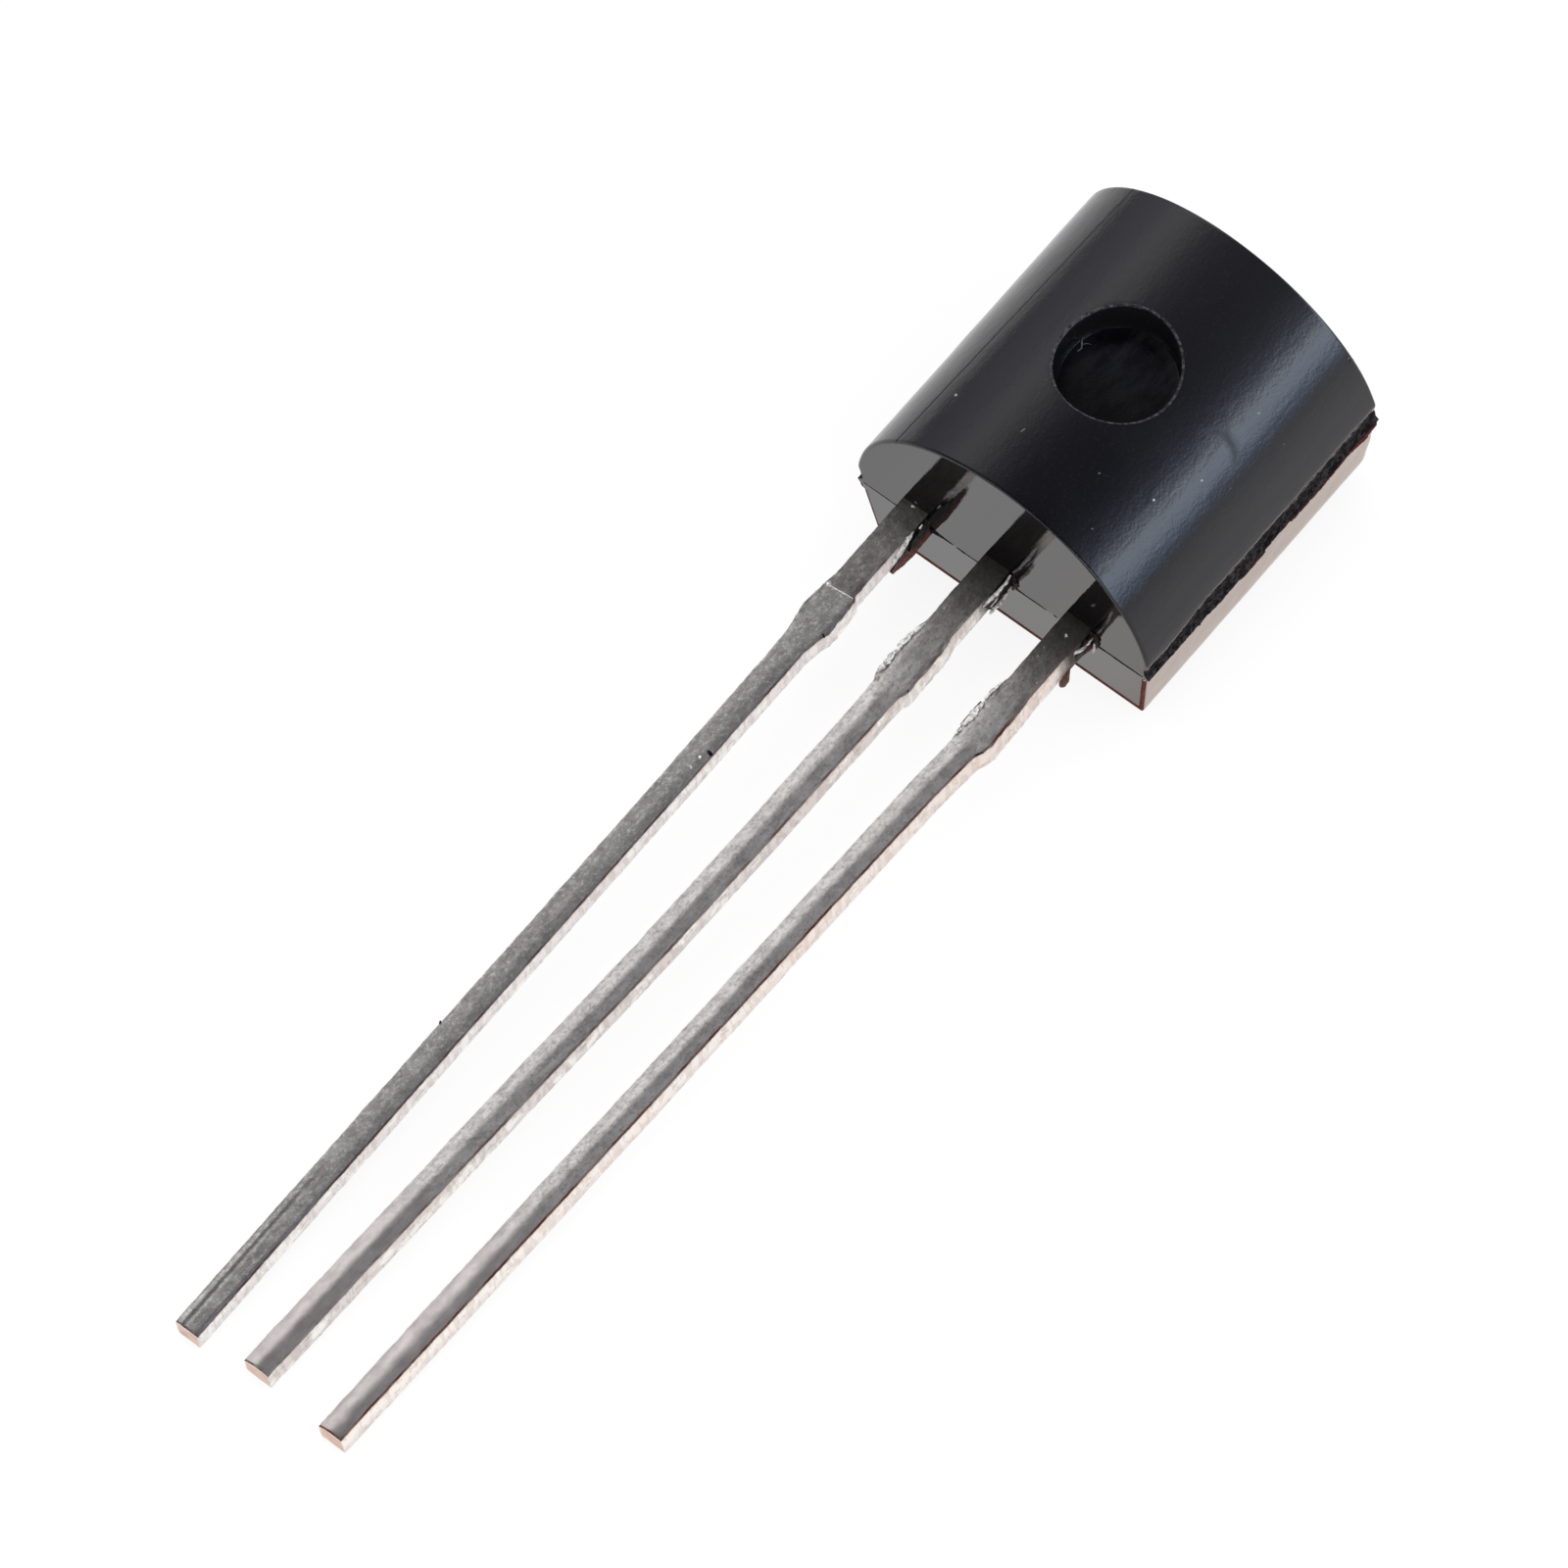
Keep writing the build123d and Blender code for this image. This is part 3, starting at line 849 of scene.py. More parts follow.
def inner_sides(name, y):
    """The exact stamped outline of a lead inside the case."""
    centre = LEAD_CENTRES[name]
    left, right, _ = INNER_ENDS[name]
    half = NECK / 2
    if y >= SHOULDER[0]:
        t = min(1.0, (y - SHOULDER[0]) / (SHOULDER[1] - SHOULDER[0]))
        return centre - half + (left - centre + half) * t, centre + half + (right - centre - half) * t
    bite = 0.0
    if abs(y - NOTCH_Y) < NOTCH_RADIUS:
        bite = max(0.0, sqrt(NOTCH_RADIUS ** 2 - (y - NOTCH_Y) ** 2) - NOTCH_SINK)
    return centre - half + bite, centre + half - bite


# Points across a lead's face, and the width of the smeared rim of its cut end
ACROSS = 26
CUT_RIM = 0.024


def rolled_profile(table):
    """Depth below the face at even shares of the width, from the slopes across it."""
    slopes = np.interp(np.linspace(0, 1, ACROSS), [p[0] for p in table], [p[1] for p in table])
    rises = -np.tan(np.radians((slopes[1:] + slopes[:-1]) / 2)) / (ACROSS - 1)
    height = np.concatenate([[0.0], np.cumsum(rises)])
    return height.max() - height


def lead_stations(name):
    """Distances along a lead, close together outside the case and at its turns inside."""
    inside = [INNER_ENDS[name][2], SHOULDER[1], SHOULDER[0], 0.8, 0.4, 0.12, 0.0]
    inside += [NOTCH_Y + NOTCH_RADIUS * c for c in (0.866, 0.8, 0.6, 0.3, 0.0, -0.3, -0.6, -0.8, -0.866)]
    outside = int(-TIPS[name] / 0.024)
    return sorted(set(inside), reverse=True) + [TIPS[name] * (i + 1) / outside for i in range(outside)]


def side_wander(x, y, tear, seed):
    """How far a lead's side wanders: a slow wave, and tears."""
    return 0.005 * ripple((x, y, 0), 2.5, seed) + (0.004 + tear) * ripple((x, y, 0), 14.0, seed + 6)


def side_bulge(x, y, share, torn, seed):
    """How far a lead's side stands out at some share of its height."""
    return 0.008 * sin(pi * share) + (0.003 + 0.012 * torn) * ripple((x, y, share), 9.0, seed)


def lead(name, seed):
    """One lead from its inner end to its cut tip."""
    near, far = (rolled_profile(table) for table in FACE_ROLL[name])
    left_table, right_table = LEAD_SIDES[name]
    tip = TIPS[name]
    shares = np.linspace(0, 1, ACROSS)
    side_steps = [0.96, 0.88, 0.76, 0.6, 0.42, 0.25, 0.1]
    points, rings = [], []
    for y in lead_stations(name):
        outside = step(-y, 0.02, 0.25)
        if y > -0.1:
            left, right = inner_sides(name, y)
        else:
            left, right = outline_at(left_table, y), outline_at(right_table, y)
        stub = step(-y, 1.1, 1.3) * (1 - step(-y, 2.0, 2.25))
        tear_left, tear_right = (stub * amount for amount in STUB_TEAR[name])
        left += outside * side_wander(0, y, 0.016 * tear_left, seed)
        right += outside * side_wander(9, y, 0.012 * tear_right, seed + 1)
        width = right - left
        change = step(-y, -ROLL_CHANGE[name][0], -ROLL_CHANGE[name][1])
        depths = near + (far - near) * change
        wave = outside * (1.0 + 0.25 * ripple((4, y, 0), 0.9, seed + 2))
        wave *= (1 - 0.75 * stub) * step(-y, 0.5, 2.6)
        end = step(tip + 0.02 - y, -0.02, 0.02)
        ring = []
        for share, depth in zip(shares, depths):
            x = left + width * share
            z = STRIP - width * depth * wave - 0.012 * end
            z += outside * (0.003 * ripple((x, y, 3), 4.0, seed + 3) - 0.004)
            torn = tear_left * max(0.0, 1 - share / 0.22) + tear_right * max(0.0, 1 - (1 - share) / 0.15)
            z -= torn * (0.02 + 0.035 * ripple((x, y, 5), 16.0, seed + 8))
            ring.append((x, y, min(z, STRIP)))
        spread = FOOT_SPREAD[name] * outside
        for s in side_steps:
            bulge = outside * side_bulge(right, y, s, tear_right, seed + 4)
            ring.append((right + bulge + spread * (1 - s), y, min(STRIP * s, ring[ACROSS - 1][2])))
        ring.append((right + spread - 0.02 * outside, y, 0.003 * outside))
        for share in (0.8, 0.6, 0.4, 0.2):
            ring.append((left + width * share, y, 0.0))
        ring.append((left + 0.02 * outside, y, 0.003 * outside))
        for s in reversed(side_steps):
            bulge = outside * side_bulge(left, y, s, tear_left, seed + 5)
            ring.append((left - bulge, y, min(STRIP * s, ring[0][2])))
        rings.append(len(points))
        points.extend(ring)
    size = len(ring)
    sides = len(side_steps)
    FACE, SIDE, CUT, RIM, EDGE = range(5)
    faces, kinds = [], []
    for a, b in zip(rings, rings[1:]):
        outside, at_tip = points[a][1] < -0.75, b == rings[-1]
        for k in range(size):
            m = (k + 1) % size
            on_side = ACROSS - 1 <= k < ACROSS + sides or k >= size - sides - 1
            faces.append((a + k, a + m, b + m, b + k))
            on_edge = k in (ACROSS - 3, ACROSS - 2) or at_tip and k < ACROSS - 1
            kinds.append(SIDE if on_side else EDGE if on_edge and outside else FACE)
    inner = len(points)
    middle = Vector((sum(points[rings[-1] + k][0] for k in range(size)) / size, tip, STRIP / 2))
    for k in range(size):
        corner = Vector(points[rings[-1] + k])
        points.append(tuple(corner + (middle - corner).normalized() * CUT_RIM))
    for k in range(size):
        m = (k + 1) % size
        faces.append((rings[-1] + k, rings[-1] + m, inner + m, inner + k))
        kinds.append(RIM)
    for start in (rings[0], inner):
        faces.append(tuple(start + k for k in range(size)))
        kinds.append(CUT)
    return points, faces, kinds


def on_round(angle, y, sink=0.0):
    """A point of the round side, by its angle from straight up."""
    t, radius = radians(angle), ROUND_RADIUS - sink
    return (radius * sin(t), y, CENTRE_RISE + radius * cos(t))


def root_flash():
    """Resin round the roots of the leads, and the broken parting line across the lead end."""
    # The burr pieces are torn metal painted near-white: painted glints
    RESIN, DRIP, LINE, BURR_GLINT, RED, FLAKE = range(6)
    parts = []

    def put(kind, path, radii, **options):
        parts.append((kind, strand(path, radii, 60 + len(parts), **options)))

    def sheet(outline, x, thickness):
        parts.append((RESIN, flap(outline, x, thickness, 60 + len(parts))))

    # Broken line between the two halves of the mould: kind, and pieces of (x, half width)
    for kind, piece in (
        (LINE, [(-2.18, 0.003), (-1.95, 0.005), (-1.56, 0.007)]),
        (LINE, [(-1.15, 0.050), (-1.04, 0.036), (-0.93, 0.016), (-0.80, 0.008), (-0.76, 0.003)]),
        (LINE, [(-0.72, 0.004), (-0.62, 0.013), (-0.54, 0.006), (-0.40, 0.007), (-0.27, 0.009)]),
        (RED, [(0.12, 0.030), (0.22, 0.014), (0.40, 0.008), (0.56, 0.009), (0.68, 0.005)]),
        (RED, [(0.79, 0.004), (0.82, 0.009), (0.85, 0.004)]),
        (LINE, [(1.39, 0.030), (1.48, 0.015), (1.66, 0.010), (1.85, 0.012), (2.05, 0.008), (2.17, 0.006)]),
    ):
        path = [(x, -0.002, 0.010 * ripple((x, 0, 0), 5.0, 71)) for x, _ in piece]
        put(kind, path, [half for _, half in piece], up=(0, 1, 0), flat=0.5)
    # A red flake of flash standing at the far end of the right parting line
    put(FLAKE, [(2.250, 4.10, -0.08), (2.252, 4.25, -0.07), (2.254, 4.36, -0.05), (2.252, 4.44, -0.07)],
        [0.008, 0.014, 0.016, 0.014], ragged=0.25)

    # First lead: a web hanging under its right edge, and a torn edge above it, painted near-white as its
    # glints
    sheet([(0.04, 0.20), (-0.20, 0.17), (-0.40, 0.12), (-0.60, 0.08), (-0.74, -0.02), (-0.71, -0.11),
           (-0.55, -0.17), (-0.29, -0.21), (0.04, -0.18)], -1.150, 0.030)
    sheet([(0.04, 0.31), (-0.16, 0.29), (-0.34, 0.20), (-0.42, 0.06), (-0.28, -0.02), (0.04, 0.00)],
          -1.132, 0.040)
    put(BURR_GLINT, [(-1.142, -0.27, 0.335), (-1.136, -0.36, 0.33), (-1.134, -0.48, 0.30), (-1.136, -0.60, 0.24),
               (-1.14, -0.70, 0.17)], [0.008, 0.028, 0.038, 0.026, 0.010], ragged=0.6)
    put(BURR_GLINT, [(-1.122, -0.13, 0.32), (-1.122, -0.19, 0.31)], [0.010, 0.014], ragged=0.6)
    put(BURR_GLINT, [(-1.375, -0.02, 0.35), (-1.33, -0.015, 0.355)], [0.014, 0.010], ragged=0.6)

    # Second lead: two torn ridges along its right side with resin between, and a lump at the case
    sheet([(0.03, 0.30), (-0.30, 0.26), (-0.50, 0.20), (-0.42, 0.02), (-0.20, -0.06), (0.03, -0.02)],
          0.136, 0.036)
    put(RESIN, [(0.16, 0.01, 0.32), (0.20, -0.01, 0.14), (0.18, -0.02, -0.03)], [0.035, 0.055, 0.02],
        up=(0, 1, 0), flat=0.5, ragged=0.6)
    put(BURR_GLINT, [(0.150, -0.01, 0.31), (0.168, -0.12, 0.29), (0.165, -0.24, 0.275), (0.15, -0.40, 0.27),
               (0.135, -0.52, 0.25)], [0.010, 0.020, 0.024, 0.028, 0.012], ragged=0.5)
    put(BURR_GLINT, [(0.165, -0.02, 0.05), (0.175, -0.14, 0.02), (0.165, -0.28, -0.03), (0.145, -0.43, -0.07)],
        [0.010, 0.022, 0.028, 0.014], ragged=0.5)
    put(BURR_GLINT, [(0.150, -0.24, 0.14), (0.152, -0.33, 0.10), (0.145, -0.41, 0.08)], [0.006, 0.014, 0.008],
        ragged=0.6)

    # Third lead: a ridge that climbs to its edge, a grey flap, a lump at the case and a brown drip
    sheet([(0.03, 0.30), (-0.20, 0.27), (-0.36, 0.18), (-0.28, 0.02), (-0.12, -0.06), (0.03, -0.10)],
          1.404, 0.036)
    put(RESIN, [(1.44, 0.01, 0.30), (1.47, -0.01, 0.14), (1.44, -0.02, -0.04), (1.42, -0.03, -0.18)],
        [0.035, 0.048, 0.035, 0.010], up=(0, 1, 0), flat=0.5, ragged=0.6)
    put(BURR_GLINT, [(1.415, 0.0, 0.17), (1.43, -0.12, 0.18), (1.425, -0.24, 0.22), (1.405, -0.36, 0.27)],
        [0.010, 0.020, 0.026, 0.020], ragged=0.5)
    put(BURR_GLINT, [(1.455, -0.03, 0.09), (1.46, -0.05, -0.02), (1.445, -0.06, -0.13)], [0.010, 0.022, 0.008],
        ragged=0.5)
    put(DRIP, [(1.405, -0.44, 0.09), (1.425, -0.51, 0.03), (1.44, -0.58, -0.03), (1.44, -0.64, -0.06),
               (1.43, -0.67, -0.08)], [0.016, 0.030, 0.056, 0.050, 0.024], ragged=0.10)
    return gather(parts)


def torn_edges():
    """Slivers and specks of torn metal on the stubs, painted near-white as glints, and dark strands that
    paint the shade in creases and nicks beside them.
    """
    BURR_GLINT, SHADE_MARK = range(2)
    parts = []

    def put(kind, path, radii, flat, ragged=0.35, lift=0.0):
        path = [(x, y, STRIP - 0.003 + lift) for x, y in path]
        parts.append((kind, strand(path, radii, 90 + len(parts), flat, ragged)))

    # First lead: a painted highlight along the crease across its face where the stub begins, and painted
    # shade where its right bulge ends
    put(BURR_GLINT, [(-1.535, -1.452), (-1.50, -1.455), (-1.46, -1.455)], [0.012, 0.032, 0.012], 0.7)
    put(BURR_GLINT, [(-1.45, -1.455), (-1.30, -1.440), (-1.15, -1.425)], [0.007, 0.009, 0.006], 0.7)
    put(SHADE_MARK, [(-1.135, -2.015), (-1.085, -2.045)], [0.012, 0.007], 0.5)
    # Second lead: a torn strip along the left of its stub, painted near-white as a glint, and painted shade
    # in a crease
    put(BURR_GLINT, [(-0.245, -1.16), (-0.280, -1.26), (-0.292, -1.50), (-0.292, -1.92), (-0.300, -2.02)],
        [0.008, 0.024, 0.028, 0.030, 0.010], 0.8, 0.8)
    put(SHADE_MARK, [(0.150, -1.975), (0.180, -2.005)], [0.008, 0.005], 0.5)
    # Third lead: a flap painted white as a glint, with painted shade in a dark sliver outside it
    put(BURR_GLINT, [(0.985, -1.22), (0.968, -1.36), (0.962, -1.50)], [0.008, 0.024, 0.016], 0.8, 0.8)
    put(BURR_GLINT, [(0.975, -1.56), (0.985, -1.75), (0.978, -1.93)], [0.014, 0.056, 0.016], 0.5, 0.4)
    put(SHADE_MARK, [(0.950, -1.56), (0.944, -1.75), (0.946, -1.95)], [0.010, 0.008, 0.005], 0.8)
    put(BURR_GLINT, [(0.968, -1.98), (0.975, -2.08)], [0.020, 0.010], 0.5, 0.8)
    put(SHADE_MARK, [(1.340, -2.16), (1.405, -2.07)], [0.007, 0.012], 0.5)
    # Specks on the faces: pale ones painted as glints, dark ones painted as the shade in nicks
    put(BURR_GLINT, [(1.195, -0.235), (1.222, -0.262)], [0.010, 0.020], 0.4, lift=0.006)
    put(BURR_GLINT, [(-1.272, -4.18), (-1.250, -4.22)], [0.022, 0.016], 0.4, 0.6)
    put(BURR_GLINT, [(-1.275, -4.35), (-1.250, -4.38)], [0.016, 0.010], 0.4, 0.6)
    put(SHADE_MARK, [(-1.245, -4.07), (-1.165, -4.09)], [0.018, 0.022], 0.4, 0.6)
    put(SHADE_MARK, [(-1.497, -8.77), (-1.483, -8.81)], [0.010, 0.008], 0.5)
    return gather(parts)


def dust():
    """Specks on the round side, nicks at its top edge, and a fibre caught in the round mark."""
    DULL, PALE = range(2)
    parts = []
    # Specks: (kind, angle, place along the case, half width, length)
    for kind, angle, y, half, length in (
        (PALE, -35.9, 0.904, 0.030, 0.03), (DULL, -6.2, 0.862, 0.014, 0.07), (PALE, 46.1, 1.899, 0.016, 0.03),
        (PALE, 45.4, 3.021, 0.016, 0.03), (PALE, 38.5, 1.268, 0.016, 0.03), (DULL, 55.5, 2.134, 0.016, 0.02),
        (DULL, 59.9, 3.052, 0.015, 0.02), (DULL, 56.6, 4.40, 0.011, 0.05), (DULL, 58.2, 4.42, 0.011, 0.05),
        (DULL, 20.5, 1.02, 0.012, 0.03), (DULL, 30.0, 0.45, 0.011, 0.02),
    ):
        low, high = on_round(angle, y - length / 2), on_round(angle + 0.4, y + length / 2)
        radii = [half * 0.6, half, half * 0.6]
        middle = tuple((a + b) / 2 for a, b in zip(low, high))
        speck = strand([low, middle, high], radii, 120 + len(parts), 0.3, 0.25, (low[0], 0, low[2]))
        parts.append((kind, speck))
    bed = MARK_FLOOR + 0.006
    for path, radii in (
        ([(-0.64, 2.47, bed + 0.03), (-0.60, 2.41, bed), (-0.565, 2.36, bed), (-0.58, 2.30, bed)],
         [0.005, 0.010, 0.008, 0.004]),
        ([(-0.60, 2.40, bed), (-0.55, 2.45, bed + 0.01), (-0.50, 2.47, bed + 0.01)], [0.007, 0.005, 0.003]),
    ):
        parts.append((DULL, strand(path, radii, 120 + len(parts), flat=0.8, ragged=0.2)))
    return gather(parts)


# Build the pieces

# Rubbed rim of the round mark, and rough, broken plastic along the parting line
worn_rim = grained("worn_rim", 17, 5, (0.45, 0.68), ((0.008, 0.008, 0.009), (0.085, 0.085, 0.088)),
                   (0.32, 0.55), (0.8, 0.012), roughness=0.75, IOR=1.45)
flash = grained("parting_flash", 14, 5, (0.46, 0.62), ((0.0026, 0.0019, 0.0021), (0.050, 0.044, 0.045)),
                (0.6, 0.85), (1.0, 0.04), roughness=0.7, IOR=1.2)
# Thin flash: along the case's lower edge, and a torn flake, bright red with light in it
thin = thin_flash()
flake = grained("red_burr", 15, 4, (0.40, 0.62), ((0.040, 0.003, 0.004), (0.20, 0.006, 0.010)),
                (0.35, 0.55), (0.5, 0.02), IOR=1.35)
# A hardened brown drip, and torn metal painted nearly white as its glints, broken into small facets
drip = grained("resin_drip", 12, 4, (0.35, 0.65), ((0.030, 0.014, 0.009), (0.13, 0.062, 0.038)),
               (0.15, 0.3), (0.4, 0.01), IOR=1.5)
burr_glint = grained("burr_painted_glint", 20, 4, (0.38, 0.58), ((0.30, 0.285, 0.275), (0.86, 0.85, 0.83)),
               (0.25, 0.45), (0.8, 0.02), roughness=0.7, Metallic=0.2)
# Cut ends of the leads, where the copper strip shows, and a pale rim round their edges
copper = grained("cut_copper", 9.0, 5, (0.35, 0.65), ((0.56, 0.33, 0.25), (0.86, 0.62, 0.50)),
                 (0.25, 0.4), (0.6, 0.02), stretch=(0.6, 1.0, 2.0), Metallic=0.9)
pale_rim = grained("cut_rim", 14.0, 4, (0.35, 0.6), ((0.72, 0.58, 0.50), (1.0, 0.94, 0.87)),
                (0.3, 0.45), (0.4, 0.01), Metallic=0.7)
# Dull solder under the chip, and drawn gold
solder = grained("solder_film", 30, 5, (0.35, 0.65), ((0.42, 0.42, 0.43), (0.66, 0.66, 0.66)),
                 (0.35, 0.55), (0.5, 0.01), Metallic=0.9)
gold = grained("gold_wire", 60, 3, (0.35, 0.65), ((0.86, 0.62, 0.24), (0.95, 0.76, 0.38)),
               (0.16, 0.28), Metallic=1.0)

case_materials = [moulded_epoxy(), moulded_end(), flat_half_side(), flash, mark_bottom(), thin, worn_rim,
                  end_rim()]
*skin, smooth = case_skin()
add_piece("case_skin", skin, case_materials, ["epoxy_case"], smooth)

# Each lead's faces: pale and dull tin, where its browner tone towards the root starts and is full,
# its share, where the grit ends, and the share of near-black next to the case; its sides: pale, warm
# and dark metal, the duller lower band, and where the root's dirt starts; and its edge, pale and
# darker
# Painted light: the sides' tones differ from lead to lead, brightest on the emitter lead, which mirrors open
# lit ground, and darker on the collector lead, which mirrors ground shaded by its neighbours
BRIGHT_TIN = ((0.86, 0.832, 0.76), (0.61, 0.585, 0.535), -1.9, -0.75, 0.62)
LEAD_TONES = {
    "base_lead": (((0.62, 0.602, 0.545), (0.45, 0.435, 0.395), -1.46, -1.40, 0.42, -16.0, 0.35),
                  ((0.93, 0.89, 0.87), (0.88, 0.79, 0.75), (0.36, 0.27, 0.25), (0.84, 0.79, 0.78), -0.58),
                  ((0.36, 0.33, 0.32), (0.20, 0.13, 0.13))),
    "collector_lead": ((*BRIGHT_TIN, -10.2, 0.75),
                       ((0.80, 0.75, 0.735), (0.79, 0.70, 0.66), (0.30, 0.22, 0.19), (0.75, 0.70, 0.69),
                        -0.68),
                       ((0.52, 0.48, 0.45), (0.30, 0.22, 0.19))),
    "emitter_lead": ((*BRIGHT_TIN, -9.6, 0.75),
                     ((1.0, 0.985, 0.965), (1.0, 0.93, 0.87), (0.52, 0.37, 0.30), (0.90, 0.84, 0.81), -0.68),
                     ((0.40, 0.31, 0.26), (0.22, 0.085, 0.055))),
}
for index, (name, (face_tones, side_tones, edge_tones)) in enumerate(LEAD_TONES.items()):
    face, side = tinned_face(name + "_tin", *face_tones), sheared_side(name + "_side", *side_tones)
    materials = [face, side, copper, pale_rim, darker_edge(name + "_edge", *edge_tones)]
    add_piece(name + "_finish", lead(name, 30 + 10 * index), materials, [name])

resin = torn_resin()
add_piece("root_flash", root_flash(), [resin, drip, flash, burr_glint, thin, flake])
add_piece("torn_edges", torn_edges(), [burr_glint, resin])
dusts = [settled_dust("dull_dust", (0.035, 0.035, 0.037), (0.12, 0.12, 0.12)),
         settled_dust("pale_dust", (0.16, 0.16, 0.155), (0.45, 0.44, 0.43))]
add_piece("dust", dust(), dusts)

for node, material in (
    ("silicon_die", polished_silicon()),
    ("die_attach", solder),
    ("base_bond_wire", gold),
    ("emitter_bond_wire", gold),
):
    for slot in frame["nodes"][node].material_slots:
        slot.material = material


# Floor, surroundings and light

# The floor as mirrors show it, by its distance across in metres, in painted tones that only mirrors
# see: white under the part, a painted warm reflection just beside the case, the case's painted shade
# further right, and unlit paper far out
MIRRORED_FLOOR = [
    (-0.040, (0.45, 0.45, 0.45)),
    (-0.010, (0.79, 0.78, 0.80)),
    (-0.0027, (0.86, 0.85, 0.87)),
    (-0.0014, (1.0, 1.0, 1.0)),
    (0.0017, (1.0, 0.98, 0.96)),
    (0.0020, (0.93, 0.80, 0.74)),
    (0.0026, (0.93, 0.80, 0.74)),
    (0.0031, (0.60, 0.60, 0.62)),
    (0.0048, (0.66, 0.66, 0.68)),
    (0.0060, (0.84, 0.84, 0.86)),
    (0.012, (0.84, 0.84, 0.86)),
    (0.045, (0.66, 0.66, 0.68)),
]
FLOOR_SIZE = 3.0
FLOOR_GLOW = 0.86


def seen_directly(t):
    """1 where the camera sees a surface straight or through another."""
    rays = (t.node("LightPath", out=name) for name in ("Is Camera Ray", "Is Transmission Ray"))
    return t.math("MAXIMUM", *rays)


def white_floor():
    """A pale sheet that shows as the photograph's white ground and keeps a soft shadow."""
    material = bpy.data.materials.new("white_floor")
    t = Tree(material, clear=True)
    place = t.node("TexCoord", out="Object")
    grain = t.node("TexNoise", {"Scale": 900.0}, "Fac")
    paper = t.node("BsdfDiffuse", {"Color": t.span(grain, 0, 1, 0.96, 0.98)})
    across = t.span(t.node("SeparateXYZ", {0: place}, "X"), MIRRORED_FLOOR[0][0], MIRRORED_FLOOR[-1][0])
    seen = seen_directly(t)
    either = t.math("MAXIMUM", seen, t.node("LightPath", out="Is Glossy Ray"))
    # Painted light: mirrors see the MIRRORED_FLOOR tones, with their painted shade and warmth, instead of the
    # lit paper
    tone = t.mix(seen, t.ramp(across, MIRRORED_FLOOR), (1, 1, 1))
    glow = t.node("Emission", {"Color": tone, "Strength": either})
    t.node("OutputMaterial", {"Surface": t.node("MixShader", {0: FLOOR_GLOW, 1: paper, 2: glow})})
    return material


floor_mesh = bpy.data.meshes.new("floor")
half = FLOOR_SIZE / 2
floor_corners = [(-half, -half, 0), (half, -half, 0), (half, half, 0), (-half, half, 0)]
floor_mesh.from_pydata(floor_corners, [], [(0, 1, 2, 3)])
floor_mesh.materials.append(white_floor())
floor = place_object("floor", floor_mesh)

# What stands round the part, by the angle from straight above it, in degrees, towards +X: a white
# wall on the left, a dark room overhead, and a soft daylight window low on the right
SURROUNDINGS = [
    (-180, (1.0, 1.0, 1.03)),
    (-97, (0.52, 0.52, 0.57)),
    (-91, (0.30, 0.30, 0.34)),
    (-84, (0.45, 0.45, 0.51)),
    (-68, (0.64, 0.63, 0.70)),
    (-56, (0.93, 0.92, 0.99)),
    (-50, (1.01, 1.00, 1.07)),
    (-43, (0.90, 0.89, 0.95)),
    (-36, (0.68, 0.68, 0.73)),
    (-28, (0.40, 0.40, 0.44)),
    (-20, (0.24, 0.24, 0.28)),
    (-8, (0.10, 0.10, 0.13)),
    (8, (0.06, 0.06, 0.09)),
    (28, (0.09, 0.10, 0.14)),
    (37, (0.18, 0.20, 0.26)),
    (45, (0.31, 0.34, 0.46)),
    (53, (0.62, 0.69, 0.92)),
    (61, (1.6, 1.8, 2.2)),
    (69, (3.3, 3.7, 4.4)),
    (77, (2.7, 3.1, 3.9)),
    (85, (1.2, 1.5, 2.1)),
    (91, (0.70, 0.80, 1.0)),
    (97, (0.8, 0.85, 0.95)),
    (180, (1.0, 1.0, 1.03)),
]
# How much of the room's light its dark side takes away
DARK_SIDE = 0.92


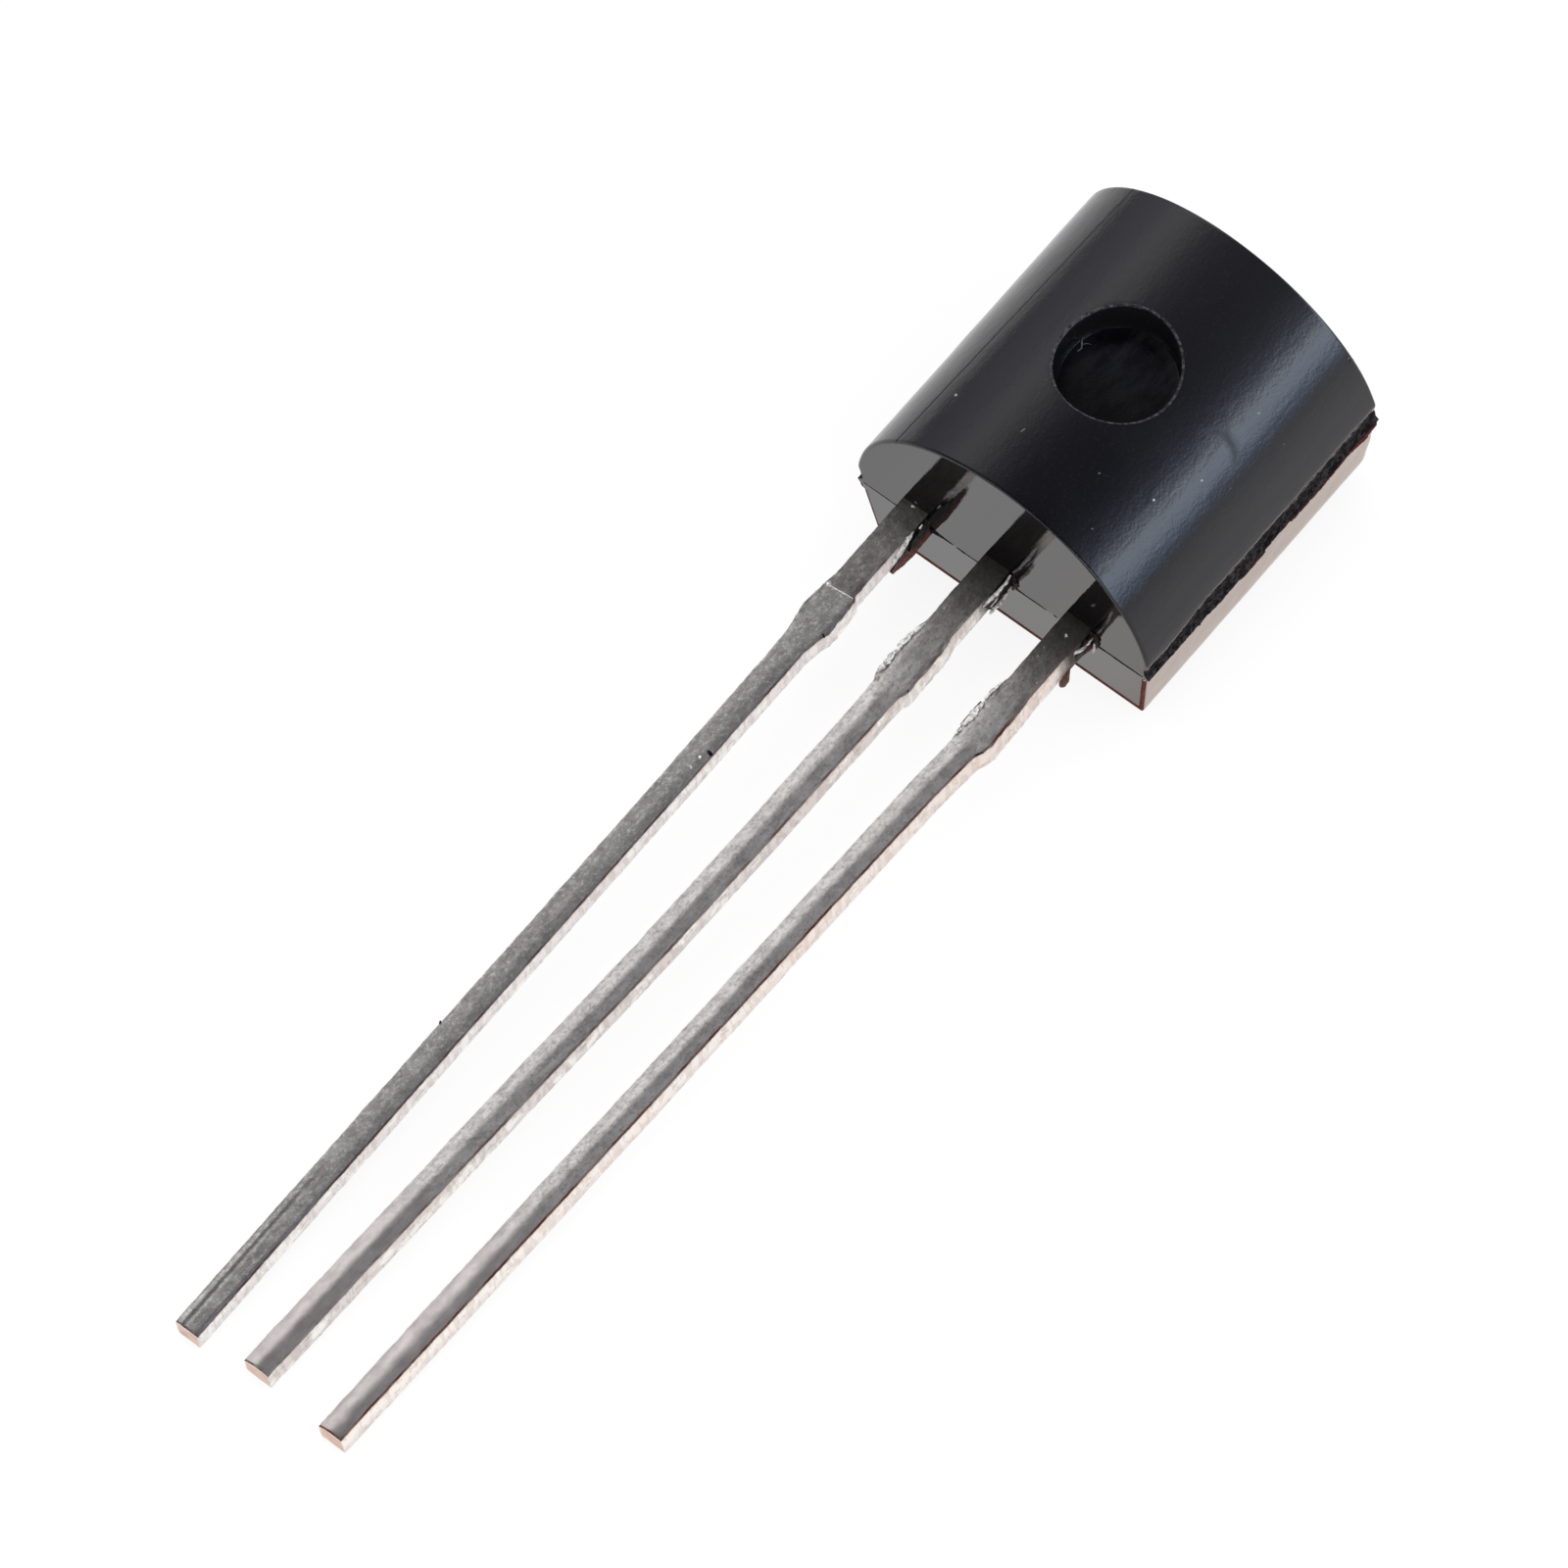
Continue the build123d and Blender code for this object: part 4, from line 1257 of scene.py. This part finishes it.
def surroundings():
    """The world: white behind the part, plain grey light, and the room that glossy skins mirror."""
    world = bpy.data.worlds.new("surroundings")
    t = Tree(world, clear=True)
    place = t.node("TexCoord", out="Generated")
    laid = t.node("Mapping", {"Vector": place, "Rotation": (LEAN, 0, 0)}, vector_type="TEXTURE")
    across, along, up = (t.node("SeparateXYZ", {0: laid}, axis) for axis in "XYZ")
    share = t.math("MULTIPLY_ADD", t.math("ARCTAN2", across, up), 1 / (2 * pi), 0.5)

    def fade(value, low, high):
        return t.span(value, low, high, interpolation_type="SMOOTHSTEP")

    # The dark side of the room, high up and towards the lead tips, where the photographer stands
    near_tips = t.times(fade(along, -0.08, -0.26), fade(along, -0.80, -0.62))
    dark = t.times(t.times(near_tips, fade(up, 0.10, 0.35)), DARK_SIDE)
    light = t.times(t.math("SUBTRACT", 1.0, dark), strongest(SURROUNDINGS))
    room = t.node("Background", {"Color": t.ramp(share, SURROUNDINGS, "EASE"), "Strength": light})
    plain_light = t.node("Background", {"Color": (0.8, 0.8, 0.8)})
    white = t.node("Background", {"Color": (1, 1, 1)})
    lit = t.node("MixShader", {0: t.node("LightPath", out="Is Glossy Ray"), 1: plain_light, 2: room})
    t.node("OutputWorld", {"Surface": t.node("MixShader", {0: seen_directly(t), 1: lit, 2: white})})
    return world


bpy.context.scene.world = surroundings()


def soft_lamp(name, place, size, watts):
    """A large square lamp aimed at the part; it shades, and the room above does the mirroring."""
    light = bpy.data.lights.new(name, "AREA")
    light.size = size
    light.energy = watts
    lamp = place_object(name, light)
    lamp.location = place
    lamp.rotation_euler = (-Vector(place)).to_track_quat("-Z", "Y").to_euler()
    lamp.visible_glossy = False


soft_lamp("window", (0.55, -0.1, 0.45), 0.5, 2.0)
soft_lamp("ceiling", (-0.15, 0.1, 0.8), 0.8, 3.0)

# Camera, from the photograph's perspective on the case and the lead row
CAMERA_PLACE = (46.591, -47.285, 130.694)
CAMERA_RIGHT = Vector((0.77138, 0.63292, -0.06622))
CAMERA_UP = Vector((-0.54855, 0.71407, 0.43497))
turned = Matrix((CAMERA_RIGHT, CAMERA_UP, CAMERA_RIGHT.cross(CAMERA_UP))).transposed()
lens = bpy.data.cameras.new("photo_view")
lens.sensor_width = 36
lens.lens = 278.1
lens.clip_start = 0.01
lens.clip_end = 10
camera = place_object("photo_view", lens)
facing = (Matrix.Rotation(LEAN, 3, "X") @ turned).to_4x4()
camera.matrix_world = Matrix.Translation(TO_ROW @ Vector(CAMERA_PLACE)) @ facing
bpy.context.scene.camera = camera
bpy.context.scene.view_settings.view_transform = "Standard"
